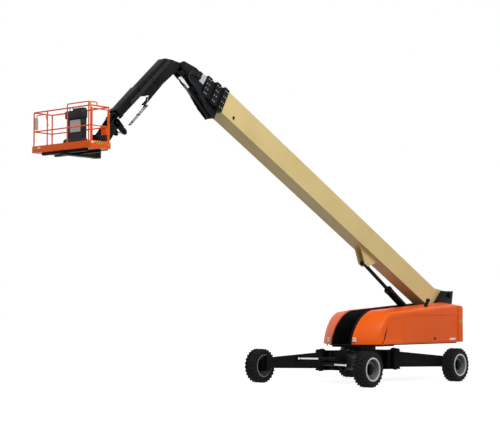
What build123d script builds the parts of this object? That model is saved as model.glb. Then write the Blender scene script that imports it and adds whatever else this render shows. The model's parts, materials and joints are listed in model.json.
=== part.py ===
from build123d import *
import math
import os

# Telescopic boom lift. Millimetres. X forward along the boom, Y to the machine's left, Z up.
# The origin is the slew axis on the ground.

# wheels and stance
TYRE_R = 577.5
TYRE_W = 445.0
RIM_R = 355.0
HALF_BASE = 2530.0
HALF_TRACK = 2290.0
LUG_COUNT = 18
LUG_DEPTH = 28.0

# clearances
GAP = 6.0
SEAT = 0.3
PIN_GAP = 0.4

# axle legs
PIVOT_X = 1300.0
PIVOT_Y = 620.0
KING_OFF = 390.0
PIVOT_R = 165.0
PIVOT_PIN_R = 70.0
KING_HUB_R = 95.0
KING_PIN_R = 45.0
FRAME_Z0 = 430.0
FRAME_Z1 = 1100.0
FRAME_PLATE = 40.0
FRAME_HALF_X = 1060.0
FRAME_HALF_Y = 430.0
LEG_END_Z0 = 480.0
LEG_END_Z1 = 880.0
LEG_ROOT_HALF = 150.0
LEG_END_HALF = 80.0
DRIVE_HUB_R = 185.0

# leg rams
RAM_ANCHOR_X = 1560.0
RAM_ANCHOR_Y = 350.0
RAM_LUG_ALONG = 750.0
RAM_LUG_OFF = 235.0
RAM_R = 52.0
RAM_ROD_R = 28.0
RAM_EYE_R = 58.0
RAM_EYE_H = 70.0
RAM_Z_LOW = 660.0
RAM_Z_HIGH = 840.0

# slew ring
SLEW_R = 600.0
SLEW_INNER_R = 440.0
SLEW_Z1 = 1275.0

# turntable
HOOD_FRONT = 1100.0
HOOD_REAR = -4330.0
HOOD_IN = 420.0
HOOD_OUT = 1220.0
HOOD_Z0 = 1390.0
HOOD_WALL = 40.0
DOOR_FRONT = -960.0
DOOR_Z0 = 1430.0
DOOR_Z1 = 2300.0
DECK_Z0 = 1385.0
DECK_T = 40.0
PLATE_IN = 360.0
PLATE_OUT = 400.0
TAIL_X = -5330.0
UPRIGHT_UP = 150.0
UPRIGHT_BACK = 230.0
UPRIGHT_FRONT = 550.0

# boom
BOOM_X = -5100.0
BOOM_Z = 3020.0
BOOM_DEG = 28.0
BOOM_TOP = -173.0
BOOM_H = 760.0
BOOM_W = 566.0
BOOM_START = 250.0
BOOM_END = 13550.0
BOOM_WALL = 12.0
SECTION_GAP = 22.0
BOOM_PIN_R = 60.0
ELBOW_U = 15480.0
ELBOW_W = -540.0

# lift ram
LIFT_BASE_X = -4300.0
LIFT_BASE_Z = 1600.0
LIFT_PIN_U = 4700.0
LIFT_PIN_DROP = 360.0
LIFT_EYE_R = 75.0
LIFT_R = 135.0
LIFT_ROD_R = 65.0
LIFT_BARREL = 3000.0

# jib
JIB_DEG = -40.0
JIB_W = 300.0
JIB_TOP = 340.0
JIB_FLY = 200.0
JIB_DEEP_END = 2000.0
JIB_END = 3150.0
LEVEL_V = 3400.0
LEVEL_N = 230.0
CRANK_R = 330.0
CRANK_DEG = -130.0
JIB_RAM_DEG = 14.0

# platform
FLOOR_X0 = 12760.0
FLOOR_X1 = 13500.0
FLOOR_HALF_Y = 1220.0
FLOOR_Z0 = 6870.0
FLOOR_T = 40.0
TOE_Z = 7060.0
MID_Z = 7470.0
TOP_Z = 8010.0
RAIL_R = 20.0
ROTOR_X = 12200.0
ROTOR_R = 150.0

CORNERS = [("fl", 1, 1), ("fr", 1, -1), ("rl", -1, 1), ("rr", -1, -1)]


def block(x0, x1, y0, y1, z0, z1):
    return Pos((x0 + x1) / 2, (y0 + y1) / 2, (z0 + z1) / 2) * Box(abs(x1 - x0), abs(y1 - y0), abs(z1 - z0))


def rod_z(x, y, r, z0, z1):
    return Pos(x, y, (z0 + z1) / 2) * Cylinder(r, z1 - z0)


def rod_y(x, z, r, y0, y1):
    return Pos(x, (y0 + y1) / 2, z) * Rot(90, 0, 0) * Cylinder(r, y1 - y0)


def rod_x(y, z, r, x0, x1):
    return Pos((x0 + x1) / 2, y, z) * Rot(0, 90, 0) * Cylinder(r, x1 - x0)


def side_plate(points, y0, y1):
    """Prism of an XZ outline from y0 to y1."""
    face = make_face(Polyline(*[(x, 0, z) for x, z in points], close=True))
    return Pos(0, y0, 0) * extrude(face, y1 - y0, dir=(0, 1, 0))


def plan_plate(points, z0, z1):
    """Prism of an XY outline from z0 to z1."""
    face = make_face(Polyline(*[(x, y, 0) for x, y in points], close=True))
    return Pos(0, 0, z0) * extrude(face, z1 - z0, dir=(0, 0, 1))


def tube_between(a, b, r):
    a, b = Vector(*a), Vector(*b)
    plane = Plane(origin=(a + b) * 0.5, z_dir=(b - a))
    return plane.location * Cylinder(r, (b - a).length)


def fuse(parts):
    out = parts[0]
    for p in parts[1:]:
        out = out + p
    return out


def mirror_y(shape):
    return mirror(shape, about=Plane.XZ)


NODES = {}

# chassis frame
pads = []
for _, sx, sy in CORNERS:
    for z0 in (FRAME_Z0, FRAME_Z1 - FRAME_PLATE):
        pads.append(rod_z(sx * PIVOT_X, sy * PIVOT_Y, PIVOT_R + 20, z0, z0 + FRAME_PLATE))
        pads.append(plan_plate([(sx * 700, sy * 300), (sx * (PIVOT_X + 120), sy * (PIVOT_Y - 145)),
                                (sx * (PIVOT_X - 120), sy * (PIVOT_Y + 145)), (sx * 500, sy * 420)],
                               z0, z0 + FRAME_PLATE))
    pads.append(rod_z(sx * PIVOT_X, sy * PIVOT_Y, PIVOT_PIN_R, FRAME_Z0 - 30, FRAME_Z1 + 30))
frame = fuse([block(-FRAME_HALF_X, FRAME_HALF_X, -FRAME_HALF_Y, FRAME_HALF_Y, FRAME_Z0, FRAME_Z1)] + pads)
for _, sx, sy in CORNERS:
    z = RAM_Z_LOW if sy > 0 else RAM_Z_HIGH
    y = -sy * RAM_ANCHOR_Y
    for side in (-1, 1):
        z0 = z + side * (RAM_EYE_H / 2 + SEAT + 12.5) - 12.5
        frame += block(sx * 1000, sx * RAM_ANCHOR_X, y - 70, y + 70, z0, z0 + 25)
        frame += rod_z(sx * RAM_ANCHOR_X, y, 70, z0, z0 + 25)
    frame += rod_z(sx * RAM_ANCHOR_X, y, 25, z - RAM_EYE_H / 2 - 40, z + RAM_EYE_H / 2 + 40)
NODES["chassis_frame"] = frame

lugs = []
for _, sx, sy in CORNERS:
    x = sx * (FRAME_HALF_X + 90)
    lug = block(sx * FRAME_HALF_X, x, sy * 160 - 15, sy * 160 + 15, 470, 610)
    lug += rod_y(x, 540, 70, sy * 160 - 15, sy * 160 + 15)
    lug -= rod_y(x, 540, 32, sy * 160 - 20, sy * 160 + 20)
    lugs.append(lug)
NODES["tie_down_lugs"] = Compound(children=lugs)

ring = rod_z(0, 0, SLEW_R, FRAME_Z1, SLEW_Z1 - SEAT) - rod_z(0, 0, SLEW_INNER_R, FRAME_Z1 - 1, SLEW_Z1)
NODES["slew_ring"] = ring

# axle legs, knuckles and wheels
KING_X = HALF_BASE
KING_Y = HALF_TRACK - KING_OFF
LEG_LEN = math.hypot(KING_X - PIVOT_X, KING_Y - PIVOT_Y)
LEG_DEG = math.degrees(math.atan2(KING_Y - PIVOT_Y, KING_X - PIVOT_X))


def make_leg(z_ram):
    root_z0, root_z1 = FRAME_Z0 + FRAME_PLATE + GAP, FRAME_Z1 - FRAME_PLATE - GAP
    hub = rod_z(0, 0, PIVOT_R, root_z0, root_z1)
    beam = side_plate([(0, root_z0 + 25), (LEG_LEN, LEG_END_Z0 + 30), (LEG_LEN, LEG_END_Z1 - 10),
                       (0, root_z1 - 10)], -LEG_ROOT_HALF, LEG_ROOT_HALF)
    beam &= plan_plate([(0, -LEG_ROOT_HALF), (LEG_LEN - 650, -LEG_END_HALF - 35), (LEG_LEN, -LEG_END_HALF),
                        (LEG_LEN, LEG_END_HALF), (LEG_LEN - 650, LEG_END_HALF), (0, LEG_ROOT_HALF)], 0, 1500)
    leg = hub + beam + rod_z(LEG_LEN, 0, KING_HUB_R, LEG_END_Z0, LEG_END_Z1)
    leg -= rod_z(0, 0, PIVOT_PIN_R + PIN_GAP, 0, 1500)
    leg -= rod_z(LEG_LEN, 0, KING_PIN_R + PIN_GAP, 0, 1500)
    for side in (-1, 1):
        z0 = z_ram + side * (RAM_EYE_H / 2 + GAP + 12.5) - 12.5
        leg += plan_plate([(RAM_LUG_ALONG - 130, -90), (RAM_LUG_ALONG - 60, -RAM_LUG_OFF),
                           (RAM_LUG_ALONG + 60, -RAM_LUG_OFF), (RAM_LUG_ALONG + 130, -90)], z0, z0 + 25)
        leg += rod_z(RAM_LUG_ALONG, -RAM_LUG_OFF, 60, z0, z0 + 25)
    return leg


def make_knuckle():
    top, low = LEG_END_Z1 + GAP, LEG_END_Z0 - GAP
    back = KING_HUB_R + 20
    k = rod_z(0, 0, KING_HUB_R, top, top + 50) + rod_z(0, 0, KING_HUB_R, low - 50, low)
    for z0 in (top, low - 50):
        k += block(-KING_HUB_R, KING_HUB_R, 0, back + 40, z0, z0 + 50)
    k += block(-KING_HUB_R, KING_HUB_R, back, back + 40, low - 50, top + 50)
    k += rod_z(0, 0, KING_PIN_R, low - 60, top + 60)
    k += rod_y(0, TYRE_R, DRIVE_HUB_R, back, KING_OFF + 90)
    k += rod_y(0, TYRE_R, DRIVE_HUB_R - 60, KING_OFF + 80, KING_OFF + 150)
    return k


def make_tyre():
    half = TYRE_W / 2
    base = TYRE_R - LUG_DEPTH
    side = [(RIM_R + SEAT, half - 46), (RIM_R + 34, half - 28), (RIM_R + 40, half - 8), (base - 90, half - 8),
            (base - 20, half - 50), (base, half - 110)]
    outline = [(r, -y) for r, y in side] + side[::-1]
    face = make_face(Polyline(*[(r, 0, y) for r, y in outline], close=True))
    tyre = revolve(face, Axis.Z)
    lugs = []
    for row in (-1, 1):
        bar = Pos(base - 12, 0, row * half / 2) * Rot(row * 24, 0, 0) * Box(2 * LUG_DEPTH + 20, 78, half - 12)
        for i in range(LUG_COUNT):
            turn = 360.0 / LUG_COUNT * (i + (0.5 if row > 0 else 0.0))
            lugs.append(Rot(0, 0, turn) * bar)
    trim = Cylinder(TYRE_R, TYRE_W)
    tyre = tyre + [lug & trim for lug in lugs]
    return Rot(90, 0, 0) * tyre


def make_rim():
    half = TYRE_W / 2
    outline = [(DRIVE_HUB_R + SEAT, 30), (DRIVE_HUB_R + SEAT, 55), (280, 55), (RIM_R - 35, -20), (RIM_R - 35, half - 30),
               (RIM_R - 5, half - 12), (RIM_R + 32, half - 12), (RIM_R + 32, half - 26), (RIM_R, half - 44),
               (RIM_R, -half + 44), (RIM_R + 32, -half + 26), (RIM_R + 32, -half + 12), (RIM_R - 5, -half + 12),
               (RIM_R - 20, -half + 30), (RIM_R - 20, -60), (270, 30)]
    face = make_face(Polyline(*[(r, 0, y) for r, y in outline], close=True))
    return Rot(-90, 0, 0) * revolve(face, Axis.Z)


tyre = make_tyre()
rim = make_rim()
knuckle = make_knuckle()
for name, sx, sy in CORNERS:
    z_ram = RAM_Z_LOW if sy > 0 else RAM_Z_HIGH
    leg = Rot(0, 0, LEG_DEG) * make_leg(z_ram)
    leg = Pos(PIVOT_X, PIVOT_Y, 0) * leg
    knee = Pos(KING_X, KING_Y, 0) * knuckle
    wheel_at = Pos(HALF_BASE, HALF_TRACK, TYRE_R)
    parts = {"leg": leg, "knuckle": knee, "tyre": wheel_at * tyre, "rim": wheel_at * rim}

    # leg ram from the frame's far lug to the leg's lug
    a = Vector(RAM_ANCHOR_X, -RAM_ANCHOR_Y, z_ram)
    c, s = math.cos(math.radians(LEG_DEG)), math.sin(math.radians(LEG_DEG))
    b = Vector(PIVOT_X + RAM_LUG_ALONG * c + RAM_LUG_OFF * s, PIVOT_Y + RAM_LUG_ALONG * s - RAM_LUG_OFF * c, z_ram)
    d = (b - a).normalized()
    span = (b - a).length
    eye = rod_z(a.X, a.Y, RAM_EYE_R, z_ram - RAM_EYE_H / 2, z_ram + RAM_EYE_H / 2)
    eye -= rod_z(a.X, a.Y, 25 + PIN_GAP, z_ram - 60, z_ram + 60)
    barrel = tube_between(a + d * 90, a + d * 700, RAM_R) - tube_between(a + d * 120, a + d * 720, RAM_ROD_R + SEAT)
    barrel += tube_between(a + d * 40, a + d * 100, RAM_ROD_R)
    parts["leg_ram_barrel"] = barrel + eye - rod_z(a.X, a.Y, 25 + PIN_GAP, z_ram - 60, z_ram + 60)
    parts["leg_ram_rod"] = (tube_between(a + d * 665, b, RAM_ROD_R)
                            + rod_z(b.X, b.Y, 45, z_ram - RAM_EYE_H / 2, z_ram + RAM_EYE_H / 2))
    for key, shape in parts.items():
        if sy < 0:
            shape = mirror(shape, about=Plane.XZ)
        if sx < 0:
            shape = mirror(shape, about=Plane.YZ)
        NODES[key + "_" + name] = shape

# turntable frame
ARCH = [(HOOD_FRONT, 1620), (640, 2230), (-800, 2570), (HOOD_REAR, 2640)]


def arch_prism(inset, z0, y0, y1, x_rear):
    """Side profile of the hoods, lowered and set back by the inset."""
    front = HOOD_FRONT - inset
    e = Line((front, 0, z0), (front, 0, ARCH[0][1] - inset))
    e += ThreePointArc((front, 0, ARCH[0][1] - inset), (ARCH[1][0] - inset, 0, ARCH[1][1] - inset),
                       (ARCH[2][0], 0, ARCH[2][1] - inset))
    e += Polyline((ARCH[2][0], 0, ARCH[2][1] - inset), (x_rear, 0, ARCH[3][1] - inset), (x_rear, 0, z0),
                  (front, 0, z0))
    return Pos(0, y0, 0) * extrude(make_face(e), y1 - y0, dir=(0, 1, 0))


deck = block(HOOD_REAR + 20, 200, -HOOD_OUT + 80, HOOD_OUT - 80, DECK_Z0, DECK_Z0 + DECK_T)
deck += block(200, HOOD_FRONT - 60, -560, 560, DECK_Z0, DECK_Z0 + DECK_T)
deck += block(TAIL_X + 150, HOOD_REAR + 30, -PLATE_OUT, PLATE_OUT, DECK_Z0, DECK_Z0 + DECK_T)
deck += block(-1400, 900, -560, 560, SLEW_Z1, DECK_Z0)
for sy in (-1, 1):
    y0, y1 = sorted((sy * PLATE_IN, sy * PLATE_OUT))
    deck += arch_prism(20, DECK_Z0, y0, y1, HOOD_REAR)
    deck += side_plate([(HOOD_REAR + 450, DECK_Z0), (HOOD_REAR + 450, BOOM_Z - 420),
                        (BOOM_X + UPRIGHT_FRONT, BOOM_Z + UPRIGHT_UP), (BOOM_X - UPRIGHT_BACK, BOOM_Z + UPRIGHT_UP),
                        (BOOM_X - UPRIGHT_BACK + 150, BOOM_Z - 320), (TAIL_X + 150, BOOM_Z - 420),
                        (TAIL_X + 150, DECK_Z0)], y0, y1)
    e0, e1 = sorted((sy * 150, sy * 190))
    deck += side_plate([(LIFT_BASE_X - 160, DECK_Z0), (LIFT_BASE_X + 160, DECK_Z0), (LIFT_BASE_X + 90, LIFT_BASE_Z + 60),
                        (LIFT_BASE_X - 90, LIFT_BASE_Z + 60)], e0, e1)
cover = arch_prism(20, DECK_Z0, -PLATE_IN, PLATE_IN, HOOD_REAR) - arch_prism(45, DECK_Z0 - 5, -PLATE_IN, PLATE_IN,
                                                                            HOOD_REAR - 10)
cover = cover & block(150, HOOD_FRONT, -PLATE_IN, PLATE_IN, DECK_Z0, 2150)
deck += cover
deck += rod_y(LIFT_BASE_X, LIFT_BASE_Z, 50, -205, 205)
deck += rod_y(BOOM_X, BOOM_Z, BOOM_PIN_R, -PLATE_OUT - 25, PLATE_OUT + 25)
NODES["turntable_frame"] = deck

# counterweight with a bowed tail
tail = Polyline((TAIL_X + 630, HOOD_OUT, 0), (HOOD_REAR - GAP, HOOD_OUT, 0), (HOOD_REAR - GAP, -HOOD_OUT, 0),
                (TAIL_X + 630, -HOOD_OUT, 0))
tail += ThreePointArc((TAIL_X + 630, -HOOD_OUT, 0), (TAIL_X, 0, 0), (TAIL_X + 630, HOOD_OUT, 0))
weight = Pos(0, 0, HOOD_Z0) * extrude(make_face(tail), 2600 - HOOD_Z0, dir=(0, 0, 1))
weight -= block(TAIL_X + 130, HOOD_REAR + 10, -PLATE_OUT - SEAT, PLATE_OUT + SEAT, 0, 4000)
weight -= block(TAIL_X - 50, HOOD_REAR, -PLATE_OUT - SEAT, PLATE_OUT + SEAT, 1950, 4000)
NODES["counterweight"] = weight

# hoods and doors


def hood_solid(inset):
    """Left hood outline drawn in by an inset on every side but the bottom."""
    y1 = HOOD_OUT - inset
    front = HOOD_FRONT - inset
    e = Polyline((front, HOOD_IN + inset, 0), (HOOD_REAR + inset, HOOD_IN + inset, 0), (HOOD_REAR + inset, y1, 0),
                 (-500, y1, 0))
    e += ThreePointArc((-500, y1, 0), (600 - inset, y1 - 230, 0), (front - 40, 640 - inset, 0))
    e += Polyline((front - 40, 640 - inset, 0), (front, 560 - inset, 0), (front, HOOD_IN + inset, 0))
    z0 = HOOD_Z0 if inset == 0 else HOOD_Z0 - 10
    plan = Pos(0, 0, z0) * extrude(make_face(e), 2800 - z0, dir=(0, 0, 1))
    body = plan & arch_prism(inset, z0, HOOD_IN, HOOD_OUT, HOOD_REAR + inset)
    # the roof falls to the outer shoulder
    origin = Vector(DOOR_FRONT, HOOD_OUT, 2370 - inset)
    along = Vector(HOOD_REAR - DOOR_FRONT, 0, 190)
    inward = Vector(0, -620, 190)
    up = along.cross(inward) * -1
    if up.Z < 0:
        up = up * -1
    roof = Plane(origin=origin, x_dir=along, z_dir=up)
    body -= roof.location * Pos(0, 0, 1000) * Box(16000, 8000, 2000)
    return body


hood = hood_solid(0) - hood_solid(HOOD_WALL) - NODES["turntable_frame"]
door_box = block(HOOD_REAR + 60, DOOR_FRONT, HOOD_OUT - HOOD_WALL - 5, HOOD_OUT + 50, DOOR_Z0, DOOR_Z1)
door = hood & door_box
hood -= block(HOOD_REAR + 60 - GAP, DOOR_FRONT + GAP, HOOD_OUT - HOOD_WALL - 40, HOOD_OUT + 60, DOOR_Z0 - GAP,
              DOOR_Z1 + SEAT)
NODES["hood_left"] = hood
NODES["hood_right"] = mirror_y(hood)
NODES["door_left"] = door
NODES["door_right"] = mirror_y(door)

NODES["engine_block"] = block(-3500, -2000, 520, 1080, DECK_Z0 + DECK_T, 2200)
NODES["exhaust"] = tube_between((-2700, 880, 2450), (-3000, 880, 2850), 60) - hood_solid(0)

# boom, drawn along its own axis from the pivot and turned up to its resting angle
BOOM_AT = Pos(BOOM_X, 0, BOOM_Z) * Rot(0, -BOOM_DEG, 0)
BOOM_BOTTOM = BOOM_TOP - BOOM_H
MID_W = (BOOM_TOP + BOOM_BOTTOM) / 2
SECTIONS = [("boom_base", 0, BOOM_START, BOOM_END), ("boom_mid", 1, 450, 13890), ("boom_inner", 2, 600, 14280),
            ("boom_fly", 3, 750, 14800)]


def section_box(step, grow, u0, u1):
    shrink = 2 * step * (BOOM_WALL + SECTION_GAP)
    return Pos((u0 + u1) / 2, 0, MID_W) * Box(u1 - u0, BOOM_W - shrink + 2 * grow, BOOM_H - shrink + 2 * grow)


boom = {}
for name, step, u0, u1 in SECTIONS:
    tube = section_box(step, 0, u0, u1) - section_box(step, -BOOM_WALL, u0 - 1, u1 + 1)
    if step < 3:
        # front collar with wear pads that reach in to the next section
        tube += section_box(step, 24, u1, u1 + 200) - section_box(step + 1, SEAT, u1 - 1, u1 + 201)
    if step > 0:
        # rear pads that reach out to the section around this one
        tube += section_box(step, SECTION_GAP - SEAT, u0 + 20, u0 + 220) - section_box(step, -BOOM_WALL, u0, u0 + 240)
    boom[name] = tube

base = boom["boom_base"]
for sy in (-1, 1):
    y0, y1 = sorted((sy * 220, sy * 250))
    cheek = side_plate([(-120, -60), (-60, 120), (60, 120), (900, BOOM_TOP - 6), (430, BOOM_TOP - 6),
                        (430, BOOM_BOTTOM + 200), (BOOM_START + 30, BOOM_BOTTOM + 120)], y0, y1)
    base += cheek + rod_y(0, 0, 120, y0, y1)
    y0, y1 = sorted((sy * 110, sy * 150))
    drop = BOOM_BOTTOM - LIFT_PIN_DROP
    base += side_plate([(LIFT_PIN_U - 520, BOOM_BOTTOM + 5), (LIFT_PIN_U - 110, drop - 60), (LIFT_PIN_U + 110, drop - 60),
                        (LIFT_PIN_U + 620, BOOM_BOTTOM + 5)], y0, y1)
base -= rod_y(0, 0, BOOM_PIN_R + PIN_GAP, -300, 300)
NODES["boom_base"] = BOOM_AT * base
NODES["boom_mid"] = BOOM_AT * boom["boom_mid"]
NODES["boom_inner"] = BOOM_AT * boom["boom_inner"]

fly = boom["boom_fly"]
for sy in (-1, 1):
    y0, y1 = sorted((sy * 148, sy * 176))
    fly += side_plate([(14700, MID_W + 250), (15000, MID_W + 260), (ELBOW_U + 60, ELBOW_W + 120),
                       (ELBOW_U + 120, ELBOW_W - 60), (15160, -640), (14670, -880), (14100, -1150),
                       (13620, -1240), (13620, -985), (14110, -950), (14500, -910), (14530, -800),
                       (14700, -800)], y0, y1)
    fly += rod_y(ELBOW_U, ELBOW_W, 130, y0, y1)
fly += rod_y(ELBOW_U, ELBOW_W, 45, -190, 190)
crank = (ELBOW_U + CRANK_R * math.cos(math.radians(CRANK_DEG)), ELBOW_W + CRANK_R * math.sin(math.radians(CRANK_DEG)))
rd = (math.cos(math.radians(JIB_RAM_DEG)), math.sin(math.radians(JIB_RAM_DEG)))


def on_ram(back):
    return (crank[0] - back * rd[0], 0, crank[1] - back * rd[1])


fly += tube_between(on_ram(1640), on_ram(420), 62)
fly += block(13640, 13720, -160, 160, -1225, -1050)
fly -= tube_between(on_ram(1450), on_ram(400), 38 + SEAT)
NODES["boom_fly"] = BOOM_AT * fly
NODES["jib_ram_rod"] = BOOM_AT * (tube_between(on_ram(1050), on_ram(0), 38)
                                  + rod_y(crank[0], crank[1], 60, -80, 80))

# lift ram
ca, sa = math.cos(math.radians(BOOM_DEG)), math.sin(math.radians(BOOM_DEG))


def boom_point(u, w):
    return (BOOM_X + u * ca - w * sa, 0, BOOM_Z + u * sa + w * ca)


foot = Vector(LIFT_BASE_X, 0, LIFT_BASE_Z)
head = Vector(*boom_point(LIFT_PIN_U, BOOM_BOTTOM - LIFT_PIN_DROP))
along = (head - foot).normalized()
barrel = tube_between(foot, foot + along * LIFT_BARREL, LIFT_R) + rod_y(foot.X, foot.Z, 140, -142, 142)
barrel -= tube_between(foot + along * 300, foot + along * (LIFT_BARREL + 10), LIFT_ROD_R + SEAT)
barrel -= rod_y(foot.X, foot.Z, 50 + PIN_GAP, -300, 300)
NODES["lift_barrel"] = barrel
NODES["lift_rod"] = tube_between(foot + along * (LIFT_BARREL - 400), head, LIFT_ROD_R) + rod_y(head.X, head.Z, LIFT_EYE_R, -95, 95)

# jib, drawn along its own axis from the elbow
elbow = boom_point(ELBOW_U, ELBOW_W)
JIB_AT = Pos(*elbow) * Rot(0, -JIB_DEG, 0)
jib = side_plate([(330, JIB_TOP - 60), (430, JIB_TOP), (JIB_END, JIB_TOP), (JIB_END, 90), (JIB_DEEP_END + 120, 90),
                  (JIB_DEEP_END, 30), (330, -90)], -JIB_W / 2, JIB_W / 2)
half = JIB_FLY / 2
fly_top = JIB_TOP - 24
slack = 12
jib -= block(500, JIB_END - 100, -half - slack, half + slack, fly_top - JIB_FLY - slack, fly_top + slack)
jib -= block(JIB_END - 110, JIB_END + 10, -half - SEAT, half + SEAT, fly_top - JIB_FLY - SEAT, fly_top + SEAT)
jib -= block(900, JIB_END + 10, -70, 70, -200, 200)
for sy in (-1, 1):
    y0, y1 = sorted((sy * 100, sy * 140))
    rel = math.radians(BOOM_DEG - JIB_DEG)
    cu, cw = crank[0] - ELBOW_U, crank[1] - ELBOW_W
    cv, cn = cu * math.cos(rel) - cw * math.sin(rel), cu * math.sin(rel) + cw * math.cos(rel)
    jib += side_plate([(0, 120), (450, JIB_TOP - 40), (450, -60), (cv + 40, cn - 30), (cv - 60, cn + 20)], y0, y1)
    jib += rod_y(0, 0, 125, y0, y1) + rod_y(cv, cn, 70, y0, y1)
jib -= rod_y(0, 0, 45 + PIN_GAP, -300, 300)
NODES["jib_base"] = JIB_AT * jib

jib_fly = block(700, LEVEL_V + 20, -half, half, fly_top - JIB_FLY, fly_top)
rear_pad = slack - SEAT
jib_fly += block(700, 800, -half - rear_pad, half + rear_pad, fly_top - JIB_FLY - rear_pad, fly_top + rear_pad)
jib_fly += rod_y(LEVEL_V, LEVEL_N, 95, -half, half)
jib_fly -= block(JIB_END - 300, LEVEL_V + 200, -70, 70, fly_top - 60, fly_top + 40)
jib_fly += rod_y(LEVEL_V, LEVEL_N, 40, -200, 200)
level_a, level_b = Vector(1000, 0, 30), Vector(LEVEL_V - 90, 0, LEVEL_N - 390)
ld = (level_b - level_a).normalized()
jib_fly += block(950, 1060, -40, 40, 20, fly_top - JIB_FLY + 1)
jib_fly += tube_between(level_a, level_a + ld * 1050, 48) - tube_between(level_a + ld * 120, level_a + ld * 1100, 28 + SEAT)
NODES["jib_fly"] = JIB_AT * jib_fly
NODES["level_rod"] = JIB_AT * (tube_between(level_a + ld * 700, level_b, 28) + rod_y(level_b.X, level_b.Z, 50, -60, 60))

# platform support with the rotator
cj, sj = math.cos(math.radians(JIB_DEG)), math.sin(math.radians(JIB_DEG))


def jib_point(v, n):
    return (elbow[0] + v * cj - n * sj, 0, elbow[2] + v * sj + n * cj)


level = jib_point(LEVEL_V, LEVEL_N)
pin = jib_point(level_b.X, level_b.Z)
support = None
for sy in (-1, 1):
    y0, y1 = sorted((sy * 165, sy * 195))
    plate = side_plate([(level[0] - 110, level[2] + 60), (level[0] + 60, level[2] + 120), (ROTOR_X - 120, 7380),
                        (ROTOR_X - 120, 6960), (11560, 7080), (pin[0] - 70, pin[2] - 40)], y0, y1)
    plate += rod_y(level[0], level[2], 130, y0, y1) + rod_y(pin[0], pin[2], 75, y0, y1)
    support = plate if support is None else support + plate
support -= rod_y(level[0], level[2], 40 + PIN_GAP, -300, 300)
support += block(ROTOR_X - 330, ROTOR_X - 100, -165, 165, 6980, 7340)
support += rod_z(ROTOR_X, 0, ROTOR_R, 6920, 7400)
NODES["platform_support"] = support

# platform
floor = block(FLOOR_X0, FLOOR_X1, -FLOOR_HALF_Y, FLOOR_HALF_Y, FLOOR_Z0, FLOOR_Z0 + FLOOR_T)
floor += rod_z(ROTOR_X, 0, ROTOR_R, 6800, 6920 - SEAT)
floor += block(ROTOR_X, FLOOR_X1 - 60, -120, 120, 6770, 6870)
floor += block(FLOOR_X0 + 60, FLOOR_X0 + 160, -900, 900, 6790, 6870)
floor += block(FLOOR_X1 - 200, FLOOR_X1 - 100, -900, 900, 6790, 6870)
toe_t = 12
for x0 in (FLOOR_X0, FLOOR_X1 - toe_t):
    floor += block(x0, x0 + toe_t, -FLOOR_HALF_Y, FLOOR_HALF_Y, FLOOR_Z0, TOE_Z)
for y0 in (-FLOOR_HALF_Y, FLOOR_HALF_Y - toe_t):
    floor += block(FLOOR_X0, FLOOR_X1, y0, y0 + toe_t, FLOOR_Z0, TOE_Z)
NODES["platform_floor"] = floor

rx0, rx1 = FLOOR_X0 + 40, FLOOR_X1 - 40
ry = FLOOR_HALF_Y - 40
z_foot = FLOOR_Z0 + FLOOR_T
posts = []
for x in (rx0, rx1):
    for y in (-ry, -ry / 3, ry / 3, ry):
        posts.append(rod_z(x, y, RAIL_R, z_foot, TOP_Z))
for z in (MID_Z, TOP_Z):
    for x in (rx0, rx1):
        posts.append(tube_between((x, -ry - RAIL_R, z), (x, ry + RAIL_R, z), RAIL_R))
    posts.append(tube_between((rx0, -ry, z), (rx1, -ry, z), RAIL_R))
posts.append(tube_between((rx0, ry, TOP_Z), (rx1, ry, TOP_Z), RAIL_R))
NODES["platform_rails"] = fuse(posts)

gate_x0, gate_x1 = rx0 + RAIL_R + SEAT, rx1 - RAIL_R - GAP
gate = rod_z(gate_x0 + 16, ry, 16, z_foot + 60, TOP_Z - 60) + rod_z(gate_x1 - 16, ry, 16, z_foot + 60, TOP_Z - 60)
for z in (z_foot + 76, MID_Z, TOP_Z - 76):
    gate += tube_between((gate_x0 + 16, ry, z), (gate_x1 - 16, ry, z), 16)
NODES["gate"] = gate

console = block(rx0 + RAIL_R + SEAT, rx0 + 260, -230, 260, 7760, 8080)
console += block(rx0 + RAIL_R + SEAT, rx0 + 200, -150, 180, 7330, 7780)
console += block(rx0 + RAIL_R + SEAT, rx0 + 280, -260, 300, 7060, 7340)
NODES["console"] = console

os.makedirs("parts", exist_ok=True)
for node, shape in NODES.items():
    export_step(shape, "parts/" + node + ".step")
print(len(NODES), "nodes")
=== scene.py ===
"""Models the visible forms of a telescopic boom lift, paints them and sets the studio."""
import json
import math

import bpy
from bpy.props import FloatProperty, FloatVectorProperty, IntProperty, PointerProperty, StringProperty
from mathutils import Matrix, Vector


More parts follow.
